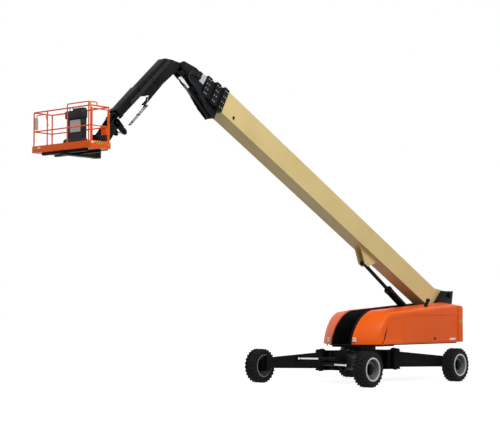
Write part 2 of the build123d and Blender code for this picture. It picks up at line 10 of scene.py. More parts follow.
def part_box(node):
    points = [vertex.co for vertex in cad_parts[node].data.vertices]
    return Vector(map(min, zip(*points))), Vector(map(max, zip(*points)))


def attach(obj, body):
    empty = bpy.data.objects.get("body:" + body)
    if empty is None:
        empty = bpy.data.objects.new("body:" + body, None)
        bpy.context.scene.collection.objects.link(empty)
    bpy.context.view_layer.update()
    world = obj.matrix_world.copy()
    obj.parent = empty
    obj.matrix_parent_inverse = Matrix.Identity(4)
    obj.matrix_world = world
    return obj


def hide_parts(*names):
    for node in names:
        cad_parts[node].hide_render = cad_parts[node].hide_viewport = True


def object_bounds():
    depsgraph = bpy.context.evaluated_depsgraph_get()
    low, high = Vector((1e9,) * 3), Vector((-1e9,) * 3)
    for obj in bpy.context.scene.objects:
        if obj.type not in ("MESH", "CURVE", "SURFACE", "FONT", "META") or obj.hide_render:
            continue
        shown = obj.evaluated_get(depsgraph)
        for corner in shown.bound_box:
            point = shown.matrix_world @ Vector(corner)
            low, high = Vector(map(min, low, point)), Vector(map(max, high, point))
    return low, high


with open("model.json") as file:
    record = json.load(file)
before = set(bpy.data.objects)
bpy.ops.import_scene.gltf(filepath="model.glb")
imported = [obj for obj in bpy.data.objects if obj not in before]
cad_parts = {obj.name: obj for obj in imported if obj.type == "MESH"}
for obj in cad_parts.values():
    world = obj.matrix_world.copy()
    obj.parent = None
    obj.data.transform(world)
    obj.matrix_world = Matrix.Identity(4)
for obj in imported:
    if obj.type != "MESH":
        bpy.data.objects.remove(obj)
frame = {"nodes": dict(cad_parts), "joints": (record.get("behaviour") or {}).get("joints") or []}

bl_info = {
    "name": "Boom Lift Dressing",
    "version": (1, 0, 0),
    "blender": (4, 5, 0),
    "location": "View3D > Sidebar > Boom Lift",
    "description": "Finishes and fittings for a telescopic boom lift",
    "category": "Object",
}

CAD_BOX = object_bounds()
NODES = frame["nodes"]
JOINTS = {j["name"]: j for j in frame["joints"]}
CORNERS = ("fl", "fr", "rl", "rr")
X, Y, Z = Vector((1, 0, 0)), Vector((0, 1, 0)), Vector((0, 0, 1))

# the boom's and the jib's own axes at rest, read from their joints
BOOM_PIVOT = Vector(JOINTS["boom_lift"]["pos_m"])
BOOM_ALONG = Vector(JOINTS["boom_extend"]["axis"])
BOOM_UP = Vector((-BOOM_ALONG.z, 0, BOOM_ALONG.x))
JIB_PIVOT = Vector(JOINTS["jib_lift"]["pos_m"])
JIB_ALONG = Vector(JOINTS["jib_extend"]["axis"])
JIB_UP = Vector((-JIB_ALONG.z, 0, JIB_ALONG.x))
BOOM_FRAME = Matrix.Translation(BOOM_PIVOT) @ Matrix((BOOM_ALONG, Y, BOOM_UP)).transposed().to_4x4()
JIB_FRAME = Matrix.Translation(JIB_PIVOT) @ Matrix((JIB_ALONG, Y, JIB_UP)).transposed().to_4x4()
# the elbow's place along the boom and above its pivot
ELBOW = (15.48, -0.54)
MATERIALS = {}


def on_boom(u, y, w):
    """A point given along the boom, to its left and above its pivot, in metres."""
    return BOOM_FRAME @ Vector((u, y, w))


def on_jib(v, y, n):
    """A point given along the jib, to its left and above its elbow, in metres."""
    return JIB_FRAME @ Vector((v, y, n))


def to_linear(code):
    """An sRGB hex colour as linear red, green, blue and alpha."""
    parts = [int(code.lstrip("#")[i : i + 2], 16) / 255 for i in (0, 2, 4)]
    return [c / 12.92 if c <= 0.04045 else ((c + 0.055) / 1.055) ** 2.4 for c in parts] + [1.0]


# Finishes


def add_node(tree, kind, inputs=None, **settings):
    """Adds one node; inputs maps a socket's name or number to a value or to an output to link from."""
    made = tree.nodes.new(kind)
    for key, value in settings.items():
        setattr(made, key, value)
    for key, value in (inputs or {}).items():
        if isinstance(value, bpy.types.NodeSocket):
            tree.links.new(value, made.inputs[key])
        else:
            made.inputs[key].default_value = value
    return made


def new_material(name):
    """Registers an empty node material and gives its tree and its Object coordinates."""
    mat = bpy.data.materials.new(name)
    mat.use_nodes = True
    mat.node_tree.nodes.clear()
    MATERIALS[name] = mat
    return mat.node_tree, add_node(mat.node_tree, "ShaderNodeTexCoord").outputs["Object"]


def per_mm(size_mm):
    """The texture scale whose features are about size_mm across, in metres of Object coordinates."""
    return 1000.0 / size_mm


def baked_enamel(name, code, faded, rough, coat):
    """Baked enamel on sheet steel: an even gloss, a little orange peel, faint fading and a film of dust."""
    tree, coord = new_material(name)
    patches = add_node(tree, "ShaderNodeTexNoise", {"Vector": coord, "Scale": per_mm(1400), "Detail": 4.0})
    fade = add_node(tree, "ShaderNodeMapRange", {"Value": patches.outputs["Fac"], "From Min": 0.35,
        "From Max": 0.7})
    colour = add_node(tree, "ShaderNodeMix", {0: fade.outputs["Result"], 6: to_linear(code),
        7: to_linear(faded)}, data_type="RGBA")
    film = add_node(tree, "ShaderNodeTexNoise", {"Vector": coord, "Scale": per_mm(220), "Detail": 6.0,
                                                 "Roughness": 0.65})
    gloss = add_node(tree, "ShaderNodeMapRange", {"Value": film.outputs["Fac"], "From Min": 0.4,
        "From Max": 0.75, "To Min": rough, "To Max": rough + 0.14})
    # real peel is about 3 mm, too fine at this distance, so it is drawn at 18 mm
    peel = add_node(tree, "ShaderNodeTexNoise", {"Vector": coord, "Scale": per_mm(18), "Detail": 1.0})
    bump = add_node(tree, "ShaderNodeBump", {"Height": peel.outputs["Fac"], "Strength": 0.05,
        "Distance": 0.002})
    shader = add_node(tree, "ShaderNodeBsdfPrincipled", {
        "Base Color": colour.outputs[2], "Roughness": gloss.outputs["Result"],
        "Normal": bump.outputs["Normal"],
        "Specular IOR Level": 0.14, "Coat Weight": coat, "Coat Roughness": 0.15})
    add_node(tree, "ShaderNodeOutputMaterial", {"Surface": shader.outputs["BSDF"]})


def chassis_black(name, code, dust, rough):
    """Two-pack black on welded plate: satin, with pale road dust lying thinly over it."""
    tree, coord = new_material(name)
    cloud = add_node(tree, "ShaderNodeTexNoise", {"Vector": coord, "Scale": per_mm(350), "Detail": 7.0,
                                                  "Roughness": 0.7})
    film = add_node(tree, "ShaderNodeMapRange", {"Value": cloud.outputs["Fac"], "From Min": 0.5,
        "From Max": 0.8, "To Max": 0.35})
    colour = add_node(tree, "ShaderNodeMix", {0: film.outputs["Result"], 6: to_linear(code),
        7: to_linear(dust)}, data_type="RGBA")
    gloss = add_node(tree, "ShaderNodeMapRange", {"Value": cloud.outputs["Fac"], "To Min": rough - 0.1,
                                                  "To Max": rough + 0.15})
    mill = add_node(tree, "ShaderNodeTexNoise", {"Vector": coord, "Scale": per_mm(24), "Detail": 2.0})
    bump = add_node(tree, "ShaderNodeBump", {"Height": mill.outputs["Fac"], "Strength": 0.08,
        "Distance": 0.003})
    shader = add_node(tree, "ShaderNodeBsdfPrincipled", {
        "Base Color": colour.outputs[2], "Roughness": gloss.outputs["Result"],
        "Normal": bump.outputs["Normal"],
        "Specular IOR Level": 0.08})
    add_node(tree, "ShaderNodeOutputMaterial", {"Surface": shader.outputs["BSDF"]})


def moulded_rubber(name, code, dust):
    """Moulded tyre rubber: near black and matt, greyed by ground dust, with a fine mould grain."""
    tree, coord = new_material(name)
    dirt = add_node(tree, "ShaderNodeTexNoise", {"Vector": coord, "Scale": per_mm(90), "Detail": 8.0,
                                                 "Roughness": 0.7})
    film = add_node(tree, "ShaderNodeMapRange", {"Value": dirt.outputs["Fac"], "From Min": 0.42,
        "From Max": 0.75, "To Max": 0.5})
    colour = add_node(tree, "ShaderNodeMix", {0: film.outputs["Result"], 6: to_linear(code),
        7: to_linear(dust)}, data_type="RGBA")
    grain = add_node(tree, "ShaderNodeTexNoise", {"Vector": coord, "Scale": per_mm(12), "Detail": 3.0})
    bump = add_node(tree, "ShaderNodeBump", {"Height": grain.outputs["Fac"], "Strength": 0.2,
        "Distance": 0.003})
    shader = add_node(tree, "ShaderNodeBsdfPrincipled", {
        "Base Color": colour.outputs[2], "Roughness": 0.78, "Normal": bump.outputs["Normal"],
        "Specular IOR Level": 0.15})
    add_node(tree, "ShaderNodeOutputMaterial", {"Surface": shader.outputs["BSDF"]})


def plated_steel(name, code, rough, metallic):
    """Hard chrome or zinc plate on ground steel: bright, with a thin oil film that streaks it."""
    tree, coord = new_material(name)
    oil = add_node(tree, "ShaderNodeTexNoise", {"Vector": coord, "Scale": per_mm(60), "Detail": 5.0})
    gloss = add_node(tree, "ShaderNodeMapRange", {"Value": oil.outputs["Fac"],
        "To Min": max(0.05, rough - 0.08), "To Max": rough + 0.12})
    shader = add_node(tree, "ShaderNodeBsdfPrincipled", {
        "Base Color": to_linear(code), "Roughness": gloss.outputs["Result"], "Metallic": metallic})
    add_node(tree, "ShaderNodeOutputMaterial", {"Surface": shader.outputs["BSDF"]})


def moulded_plastic(name, code, rough):
    """Injection-moulded polypropylene: a fine spark grain that breaks up the highlight."""
    tree, coord = new_material(name)
    # real spark grain is about 0.3 mm, drawn at 8 mm so that it shows
    grain = add_node(tree, "ShaderNodeTexVoronoi", {"Vector": coord, "Scale": per_mm(8)})
    bump = add_node(tree, "ShaderNodeBump", {"Height": grain.outputs["Distance"], "Strength": 0.1,
        "Distance": 0.001})
    shade = add_node(tree, "ShaderNodeTexNoise", {"Vector": coord, "Scale": per_mm(300), "Detail": 3.0})
    gloss = add_node(tree, "ShaderNodeMapRange", {"Value": shade.outputs["Fac"], "To Min": rough - 0.06,
                                                  "To Max": rough + 0.1})
    shader = add_node(tree, "ShaderNodeBsdfPrincipled", {
        "Base Color": to_linear(code), "Roughness": gloss.outputs["Result"],
        "Normal": bump.outputs["Normal"],
        "Specular IOR Level": 0.2})
    add_node(tree, "ShaderNodeOutputMaterial", {"Surface": shader.outputs["BSDF"]})


def hazard_tape(name, dark, bright, stripe_mm):
    """Printed vinyl hazard tape: slanting black and yellow bars under a clear gloss."""
    tree, coord = new_material(name)
    axes = add_node(tree, "ShaderNodeSeparateXYZ", {"Vector": coord})
    across = add_node(tree, "ShaderNodeMath", {0: axes.outputs["X"], 1: axes.outputs["Y"]}, operation="ADD")
    slant = add_node(tree, "ShaderNodeMath", {0: across.outputs[0], 1: axes.outputs["Z"]}, operation="ADD")
    bars = add_node(tree, "ShaderNodeMath", {0: slant.outputs[0], 1: per_mm(2 * stripe_mm)},
        operation="MULTIPLY")
    part = add_node(tree, "ShaderNodeMath", {0: bars.outputs[0]}, operation="FRACT")
    mask = add_node(tree, "ShaderNodeMath", {0: part.outputs[0], 1: 0.5}, operation="GREATER_THAN")
    colour = add_node(tree, "ShaderNodeMix", {0: mask.outputs[0], 6: to_linear(dark), 7: to_linear(bright)},
                      data_type="RGBA")
    shader = add_node(tree, "ShaderNodeBsdfPrincipled", {"Base Color": colour.outputs[2],
        "Roughness": 0.35})
    add_node(tree, "ShaderNodeOutputMaterial", {"Surface": shader.outputs["BSDF"]})


def seen_rays(tree):
    """One where a ray comes from the camera, a mirror or glass, so that these show the white background."""
    path = add_node(tree, "ShaderNodeLightPath")
    either = add_node(tree, "ShaderNodeMath", {0: path.outputs["Is Camera Ray"],
        1: path.outputs["Is Glossy Ray"]}, operation="MAXIMUM")
    return add_node(tree, "ShaderNodeMath", {0: either.outputs[0], 1: path.outputs["Is Transmission Ray"]},
                    operation="MAXIMUM").outputs[0]


# Modelling


def deselect():
    if bpy.context.mode != "OBJECT":
        bpy.ops.object.mode_set(mode="OBJECT")
    bpy.ops.object.select_all(action="DESELECT")


def activate(made):
    """Chooses one object alone and makes it the active one."""
    deselect()
    made.select_set(True)
    bpy.context.view_layer.objects.active = made


def keep(name):
    """Names the new object and moves its place into its mesh."""
    made = bpy.context.active_object
    made.name = made.data.name = name
    bpy.ops.object.transform_apply(location=True, rotation=True, scale=True)
    return made


def modify(made, kind, **settings):
    """Adds a modifier and applies it."""
    activate(made)
    mod = made.modifiers.new(kind.title(), kind)
    for key, value in settings.items():
        setattr(mod, key, value)
    bpy.ops.object.modifier_apply(modifier=mod.name)
    return made


def rounded(made, width, steps=2):
    """Rounds over the sharp edges of a piece, where a width is given."""
    return modify(made, "BEVEL", width=width, segments=steps, limit_method="ANGLE") if width else made


def block(name, low, high, bevel=0.004):
    """A box between two corners with its edges rounded over."""
    low, high = Vector(low), Vector(high)
    deselect()
    bpy.ops.mesh.primitive_cube_add(size=1, location=(low + high) / 2, scale=high - low)
    made = keep(name)
    return rounded(made, bevel)


def rod(name, a, b, radius, bevel=0.0, sides=24):
    """A round bar from a to b, its rims rounded over."""
    a, b = Vector(a), Vector(b)
    deselect()
    turn = (b - a).to_track_quat("Z", "Y").to_euler()
    bpy.ops.mesh.primitive_cylinder_add(vertices=sides, radius=radius, depth=(b - a).length,
        location=(a + b) / 2, rotation=turn)
    made = keep(name)
    return rounded(made, bevel)


def pick(made, rule):
    """Opens a piece in edit mode with those faces chosen whose centre and normal the rule accepts."""
    activate(made)
    bpy.ops.object.mode_set(mode="EDIT")
    bpy.ops.mesh.select_mode(type="FACE")
    bpy.ops.mesh.select_all(action="DESELECT")
    bpy.ops.object.mode_set(mode="OBJECT")
    for face in made.data.polygons:
        face.select = rule(face.center, face.normal)
    bpy.ops.object.mode_set(mode="EDIT")


def pick_points(made, rule):
    """Opens a piece in edit mode with those vertices chosen whose place the rule accepts."""
    pick(made, lambda at, normal: False)
    bpy.ops.mesh.select_mode(type="VERT")
    bpy.ops.object.mode_set(mode="OBJECT")
    for vertex in made.data.vertices:
        vertex.select = rule(vertex.co)
    bpy.ops.object.mode_set(mode="EDIT")


def ring(name, a, b, inner, outer, bevel=0.0, sides=64, steps=2):
    """A hollow round piece from a to b: both ends of a bar are inset, cut away and bridged."""
    along = (Vector(b) - Vector(a)).normalized()
    made = rod(name, a, b, outer, 0.0, sides)
    pick(made, lambda at, normal: abs(normal.dot(along)) > 0.9)
    bpy.ops.mesh.inset(thickness=outer - inner)
    bpy.ops.mesh.delete(type="FACE")
    bpy.ops.mesh.select_mode(type="EDGE")
    bpy.ops.mesh.select_non_manifold()
    bpy.ops.mesh.bridge_edge_loops()
    bpy.ops.mesh.select_all(action="SELECT")
    bpy.ops.mesh.normals_make_consistent(inside=False)
    bpy.ops.object.mode_set(mode="OBJECT")
    return rounded(made, bevel, steps)


def lidded(name, low, high, side, border, depth, bevel=0.004):
    """A block with the face on one side inset and pressed in, or raised where depth is negative."""
    made = block(name, low, high, 0)
    pick(made, lambda at, normal: normal.dot(side) > 0.9)
    bpy.ops.mesh.inset(thickness=border)
    bpy.ops.transform.translate(value=Vector(side) * -depth)
    return rounded(made, bevel)


def cut(made, at, normal):
    """Cuts a piece by a plane and closes it, dropping the side that the normal points to."""
    pick(made, lambda centre, facing: True)
    bpy.ops.mesh.bisect(plane_co=at, plane_no=normal, use_fill=True, clear_outer=True)
    bpy.ops.object.mode_set(mode="OBJECT")


def arc(start, through, end, count):
    """Points on the circle through three points of a plane, from the first to the last."""
    (ax, ay), (bx, by), (cx, cy) = start, through, end
    d = 2 * (ax * (by - cy) + bx * (cy - ay) + cx * (ay - by))
    a2, b2, c2 = ax * ax + ay * ay, bx * bx + by * by, cx * cx + cy * cy
    ux = (a2 * (by - cy) + b2 * (cy - ay) + c2 * (ay - by)) / d
    uy = (a2 * (cx - bx) + b2 * (ax - cx) + c2 * (bx - ax)) / d
    first, last = math.atan2(ay - uy, ax - ux), math.atan2(cy - uy, cx - ux)
    if last < first:
        last += 2 * math.pi
    reach = math.hypot(ax - ux, ay - uy)
    turns = [first + (last - first) * i / count for i in range(count + 1)]
    return [(ux + reach * math.cos(t), uy + reach * math.sin(t)) for t in turns]


def slab(name, outline, y0, y1, bevel=0.0):
    """A convex plate: a block cut along each side of its outline in X and Z, drawn anticlockwise."""
    xs, zs = [x for x, z in outline], [z for x, z in outline]
    made = block(name, (min(xs) - 0.01, y0, min(zs) - 0.01), (max(xs) + 0.01, y1, max(zs) + 0.01), 0)
    sides = sorted(zip(outline, outline[1:] + outline[:1]), key=lambda ends: -math.dist(*ends))
    for (x0, z0), (x1, z1) in sides:
        facing = Vector((z1 - z0, 0, x0 - x1)).normalized()
        cut(made, Vector(((x0 + x1) / 2, (y0 + y1) / 2, (z0 + z1) / 2)), facing)
    pick(made, lambda centre, facing: True)
    bpy.ops.mesh.remove_doubles(threshold=0.0005)
    bpy.ops.mesh.dissolve_degenerate(threshold=0.0005)
    bpy.ops.object.mode_set(mode="OBJECT")
    return rounded(made, bevel)


def carve(made, tool, how):
    """Takes a tool piece from another, or keeps what they share, and removes the tool."""
    modify(made, "BOOLEAN", object=tool, operation=how, solver="EXACT")
    bpy.data.objects.remove(tool)
    return made


def bolt(name, at, along, radius):
    """A hexagon bolt head on a washer."""
    at, along = Vector(at), Vector(along).normalized()
    washer = rod(name, at, at + along * radius * 0.3, radius * 1.35, radius * 0.1, 20)
    head = rod(name, at + along * radius * 0.25, at + along * radius * 1.1, radius, radius * 0.15, 6)
    return join(name, [washer, head])


def bolt_circle(centre, along, spread, circle, count, radius):
    """Bolt heads evenly round a circle that lies in the two directions of spread."""
    turns = [2 * math.pi * i / count for i in range(count)]
    return [bolt("head", centre + (spread[0] * math.cos(t) + spread[1] * math.sin(t)) * circle, along,
        radius) for t in turns]


def hose(name, points, radius):
    """A flexible line through control points, round in section."""
    curve = bpy.data.curves.new(name, "CURVE")
    curve.dimensions = "3D"
    curve.bevel_depth = radius
    curve.bevel_resolution = 3
    curve.resolution_u = 8
    curve.use_fill_caps = True
    spline = curve.splines.new("NURBS")
    spline.points.add(len(points) - 1)
    for knot, point in zip(spline.points, points):
        knot.co = (*point, 1.0)
    spline.order_u = 3
    spline.use_endpoint_u = True
    made = bpy.data.objects.new(name, curve)
    bpy.context.scene.collection.objects.link(made)
    activate(made)
    bpy.ops.object.convert(target="MESH")
    return keep(name)


def tube(points, radius, bend=0.09):
    """A bent rail: straight runs between points with a rounded turn at each corner."""
    points = [Vector(point) for point in points]
    route = [points[0]]
    for before, corner, after in zip(points, points[1:], points[2:]):
        route += [corner + (before - corner).normalized() * bend, corner,
            corner + (after - corner).normalized() * bend]
    return hose("rail", [*route, points[-1]], radius)


def join(name, pieces):
    """Joins several objects into one."""
    deselect()
    for piece in pieces:
        piece.select_set(True)
    bpy.context.view_layer.objects.active = pieces[0]
    bpy.ops.object.join()
    made = bpy.context.active_object
    made.name = made.data.name = name
    return made


def settle(made, body, finish, smooth=35.0):
    """Gives a piece its finish and lets it ride on a body."""
    activate(made)
    bpy.ops.object.shade_smooth_by_angle(angle=math.radians(smooth))
    made.data.materials.clear()
    made.data.materials.append(MATERIALS[finish])
    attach(made, body)
    return made


def shift(made, matrix):
    """Moves a piece's mesh by a matrix, turning its faces out again where the matrix mirrors it."""
    made.data.transform(matrix)
    if matrix.determinant() < 0:
        made.data.flip_normals()
    return made


def place(source, name, matrix):
    """A copy of a finished mesh, moved by a matrix."""
    made = source.copy()
    made.data = source.data.copy()
    made.name = made.data.name = name
    bpy.context.scene.collection.objects.link(made)
    return shift(made, matrix)


# Settings


class BoomLiftFinish(bpy.types.PropertyGroup):
    """Colours of the machine's finishes, as sRGB hex"""

    orange: StringProperty(name="Panel orange", description="Enamel of hoods and platform",
        default="#EE5E02")
    orange_faded: StringProperty(name="Faded orange", description="Enamel where sun has worked",
        default="#E65800")
    cream: StringProperty(name="Boom cream", description="Enamel of the boom's base section",
        default="#DAC48A")
    cream_faded: StringProperty(name="Faded cream", description="Weathered boom enamel", default="#D2BA7D")
    black: StringProperty(name="Chassis black", description="Two-pack paint of frame and legs",
        default="#0A0A0B")
    rubber: StringProperty(name="Rubber", description="Tyre compound", default="#0E0E0F")
    dust: StringProperty(name="Dust", description="Ground dust on paint and rubber", default="#2A2928")
    # the rims' silver is darkened to a mid grey as painted shade of their barrels; the flanges get a lighter
    # copy, painted as lit
    silver: StringProperty(name="Rim silver with painted shade", description="Rim enamel darkened as painted shade", default="#7C7E81")


class BoomLiftStudio(bpy.types.PropertyGroup):
    """Camera and light"""

    lens: FloatProperty(name="Lens", description="Focal length", default=100.44, unit="CAMERA")
    eye: FloatVectorProperty(name="Camera place", description="Where the camera stands",
        default=(38.64, 29.15, 2.51), subtype="TRANSLATION")
    pitch: FloatProperty(name="Pitch", description="Camera tilt from straight down",
        default=math.radians(93.71), subtype="ANGLE")
    yaw: FloatProperty(name="Yaw", description="Camera heading", default=math.radians(131.45),
        subtype="ANGLE")
    world: FloatProperty(name="Sky strength", description="Even light from the dome", default=0.62, min=0)
    floor: FloatProperty(name="Floor glow", description="White added to the floor where it is seen",
        default=0.86, min=0)
    key: FloatProperty(name="Key strength", description="Power of the large overhead lamp", default=5000,
        unit="POWER")
    fill: FloatProperty(name="Fill strength", description="Power of the lamp beside the camera",
        default=550, unit="POWER")


class BoomLiftTrim(bpy.types.PropertyGroup):
    """Sizes of fittings"""

    stud_count: IntProperty(name="Wheel studs", description="Studs round each wheel", default=12, min=3)
    stud_circle: FloatProperty(name="Stud circle", description="Radius of the stud circle", default=0.232,
                               unit="LENGTH")
    lug_count: IntProperty(name="Tyre lugs", description="Lugs in each of a tyre's two rows", default=26,
        min=8)
    lug_depth: FloatProperty(name="Lug depth", description="Height of the tread lugs", default=0.03,
        unit="LENGTH")
    hose_radius: FloatProperty(name="Hose radius", description="Outer radius of a hydraulic hose",
        default=0.014, unit="LENGTH")


# Pieces


class BOOMLIFT_OT_finishes(bpy.types.Operator):
    """Makes every finish and paints the solid pieces"""

    bl_idname = "boomlift.finishes"
    bl_label = "Paint the machine"

    def execute(self, context):
        tone = context.scene.boomlift_finish
        baked_enamel("orange baked enamel", tone.orange, tone.orange_faded, 0.34, 0.06)
        baked_enamel("cream baked enamel", tone.cream, tone.cream_faded, 0.36, 0.05)
        # the rims' silver, darkened to a mid grey as painted shade of the barrels
        baked_enamel("wheel silver darkened as painted shade", tone.silver, "#6F7174", 0.3, 0.2)
        chassis_black("black two-pack paint", tone.black, tone.dust, 0.42)
        chassis_black("black section paint", "#141517", tone.dust, 0.36)
        moulded_rubber("moulded tyre rubber", tone.rubber, tone.dust)
        plated_steel("hard chrome plate", "#D9DADC", 0.16, 1.0)
        plated_steel("zinc plated steel", "#B4B6B8", 0.34, 1.0)
        moulded_plastic("black moulded plastic", "#1C1D1F", 0.5)
        moulded_plastic("grey moulded plastic", "#B9BCBE", 0.42)
        moulded_plastic("white reflector plastic", "#E9EAEA", 0.2)
        moulded_plastic("hydraulic hose rubber", "#26272A", 0.55)
        moulded_plastic("pale hose sleeve", "#A8AAAB", 0.5)
        moulded_plastic("amber lens plastic", "#F0A21E", 0.18)
        # a lighter copy of the rims' silver for the flanges, painted as lit
        baked_enamel("wheel silver lightened as lit flange", "#C6C8CA", "#BDBFC2", 0.28, 0.2)
        hazard_tape("hazard tape", "#161616", "#E8B720", 45)
        finishes = (
            # the rims take the silver darkened as painted shade
            ("tyre_", "moulded tyre rubber"), ("rim_", "wheel silver darkened as painted shade"),
            ("hood_", "orange baked enamel"),
            ("door_", "orange baked enamel"), ("counterweight", "orange baked enamel"),
            ("platform_floor", "orange baked enamel"), ("platform_rails", "orange baked enamel"),
            ("gate", "orange baked enamel"), ("boom_base", "cream baked enamel"),
            ("boom_", "black section paint"),
            ("lift_rod", "black section paint"), ("leg_ram_rod", "hard chrome plate"),
            ("jib_ram_rod", "hard chrome plate"), ("level_rod", "hard chrome plate"),
            ("console", "black moulded plastic"), ("", "black two-pack paint"),
        )
        for name, made in NODES.items():
            finish = next(value for prefix, value in finishes if name.startswith(prefix))
            made.data.materials.clear()
            made.data.materials.append(MATERIALS[finish])
        return {"FINISHED"}


class BOOMLIFT_OT_tyres(bpy.types.Operator):
    """Models one lugged tyre and sets a copy on each wheel in place of its plain solid"""

    bl_idname = "boomlift.tyres"
    bl_label = "Fit the tyres"

    def execute(self, context):
        trim = context.scene.boomlift_trim
        hub = Vector(JOINTS["wheel_fl"]["pos_m"])
        low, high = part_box("tyre_fl")
        half = (high[1] - low[1]) / 2
        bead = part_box("rim_fl")[1][2] - hub.z - 0.026
        reach = hub.z - 0.003
        tread = reach - trim.lug_depth
        carcass = ring("carcass", Y * -half * 0.97, Y * half * 0.97, bead, tread, 0.055, 96, 5)
        lug = block("lug", (tread - 0.035, -0.031, -half * 0.44), (reach, 0.031, half * 0.44), 0)
        pick(lug, lambda at, normal: normal.x > 0.9)
        bpy.ops.transform.resize(value=(1, 0.78, 0.94))
        rounded(lug, 0.005)
        pieces = [carcass]
        for row in (-1, 1):
            lean = Matrix.Rotation(row * math.radians(-26), 4, "X")
            seat = Matrix.Translation((0, row * half * 0.49, 0)) @ lean
            # the bar was drawn with its length along Z, so it is first laid along the axle
            laid = seat @ Matrix.Rotation(math.radians(90), 4, "X")
            for i in range(trim.lug_count):
                turn = Matrix.Rotation(2 * math.pi * (i + (row + 1) / 4) / trim.lug_count, 4, "Y")
                pieces.append(place(lug, "lug", turn @ laid))
        tyre = join("tyre", pieces)
        bpy.data.objects.remove(lug)
        for corner in CORNERS:
            at = Vector(JOINTS["wheel_" + corner]["pos_m"])
            made = place(tyre, "lugged_tyre_" + corner, Matrix.Translation(at))
            settle(made, "wheel_" + corner, "moulded tyre rubber")
            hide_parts("tyre_" + corner)
        bpy.data.objects.remove(tyre)
        return {"FINISHED"}


class BOOMLIFT_OT_wheels(bpy.types.Operator):
    """Adds the rim flanges in a lighter copy of the rims' silver that paints them as lit, and the studs and hub
    covers of the wheels
    """

    bl_idname = "boomlift.wheels"
    bl_label = "Trim the wheels"

    def execute(self, context):
        trim = context.scene.boomlift_trim
        hub = Vector(JOINTS["wheel_fl"]["pos_m"])
        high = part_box("rim_fl")[1]
        lip = high[1] - hub.y
        flange = high[2] - hub.z
        face = 0.055
        studs = []
        for i in range(trim.stud_count):
            turn = 2 * math.pi * i / trim.stud_count
            at = Vector((trim.stud_circle * math.cos(turn), face, trim.stud_circle * math.sin(turn)))
            studs.append(rod("stud", at, at + Y * 0.03, 0.016, 0.004, 6))
            studs.append(rod("stud_end", at + Y * 0.028, at + Y * 0.045, 0.009, 0.002, 12))
        cover = rod("hub_cover", Y * 0.155, Y * 0.168, 0.118, 0.008, 40)
        cap = rod("hub_cap", Y * 0.165, Y * 0.182, 0.05, 0.006, 24)
        bolts = bolt_circle(Y * 0.167, Y, (X, Z), 0.09, 8, 0.009)
        # the flange ring takes the lighter silver, painted as lit against the rims' painted shade
        bright = ring("rim_flange", Y * (lip - 0.03), Y * (lip + 0.006), flange - 0.05, flange - 0.002,
            0.008, 72)
        sets = {
            "wheel_studs": (join("wheel_studs", studs), "zinc plated steel"),
            "rim_flange": (bright, "wheel silver lightened as lit flange"),
            "hub_cover": (join("hub_cover", [cover, cap, *bolts]), "black two-pack paint"),
        }
        for corner in CORNERS:
            at = Vector(JOINTS["wheel_" + corner]["pos_m"])
            turn = Matrix.Rotation(math.pi if at.y < 0 else 0, 4, "Z")
            for name, (source, finish) in sets.items():
                made = place(source, name + "_" + corner, Matrix.Translation(at) @ turn)
                settle(made, "wheel_" + corner, finish)
        for source, finish in sets.values():
            bpy.data.objects.remove(source)
        return {"FINISHED"}


class BOOMLIFT_OT_chassis_trim(bpy.types.Operator):
    """Adds pivot caps, kingpin caps, ram glands, frame webs and hoses to the chassis"""

    bl_idname = "boomlift.chassis_trim"
    bl_label = "Trim the chassis"

    def execute(self, context):
        trim = context.scene.boomlift_trim
        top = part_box("chassis_frame")[1][2]
        for corner in CORNERS:
            pin = Vector(JOINTS["leg_swing_" + corner]["pos_m"])
            pin.z = top
            cap = ring("cap", pin - Z * 0.028, pin + Z * 0.004, 0.075, 0.15, 0.005, 48)
            lid = rod("lid", pin - Z * 0.004, pin + Z * 0.012, 0.062, 0.004, 32)
            heads = bolt_circle(pin + Z * 0.002, Z, (X, Y), 0.115, 8, 0.012)
            settle(join("pivot_cap_" + corner, [cap, lid, *heads]), "chassis", "black two-pack paint")

            king = Vector(JOINTS["steer_" + corner]["pos_m"])
            king.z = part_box("knuckle_" + corner)[1][2]
            lid = rod("lid", king - Z * 0.012, king + Z * 0.012, 0.07, 0.005, 32)
            spots = [Vector((0.045 * math.cos(a), 0.045 * math.sin(a), 0.012)) for a in (0.5, 2.6, 4.7)]
            heads = [bolt("head", king + spot, Z, 0.008) for spot in spots]
            settle(join("kingpin_cap_" + corner, [lid, *heads]), "knuckle_" + corner,
                "black two-pack paint")

            foot = Vector(JOINTS["leg_ram_turn_" + corner]["pos_m"])
            along = Vector(JOINTS["leg_ram_" + corner]["axis"])
            gland = ring("ram_gland_" + corner, foot + along * 0.66, foot + along * 0.706, 0.034, 0.059,
                0.004, 32)
            settle(gland, "leg_ram_barrel_" + corner, "black two-pack paint")

            side = math.copysign(1, pin.y)
            ahead = math.copysign(1, pin.x)
            start = Vector((ahead * 0.9, side * 0.44, 0.93))
            steps = ((0, 0, 0), (0.14, 0.1, 0.09), (0.3, 0.12, 0.2), (0.42, 0.12, 0.235), (0.5, 0.16, 0.2))
            route = [start + Vector((ahead * x, side * y, z)) for x, y, z in steps]
            lines = []
            for i in range(2):
                aside = Y * (-side * 0.036 * i)
                lines.append(hose("line", [point + aside for point in route], trim.hose_radius))
            web = block("frame_web_" + corner, (0.9, 0.3, 0.47), (1.128, 0.61, 1.06), 0.01)
            shift(web, Matrix.Diagonal((ahead, side, 1, 1)))
            settle(web, "chassis", "black two-pack paint")
            settle(join("frame_hoses_" + corner, lines), "chassis", "hydraulic hose rubber")
        return {"FINISHED"}


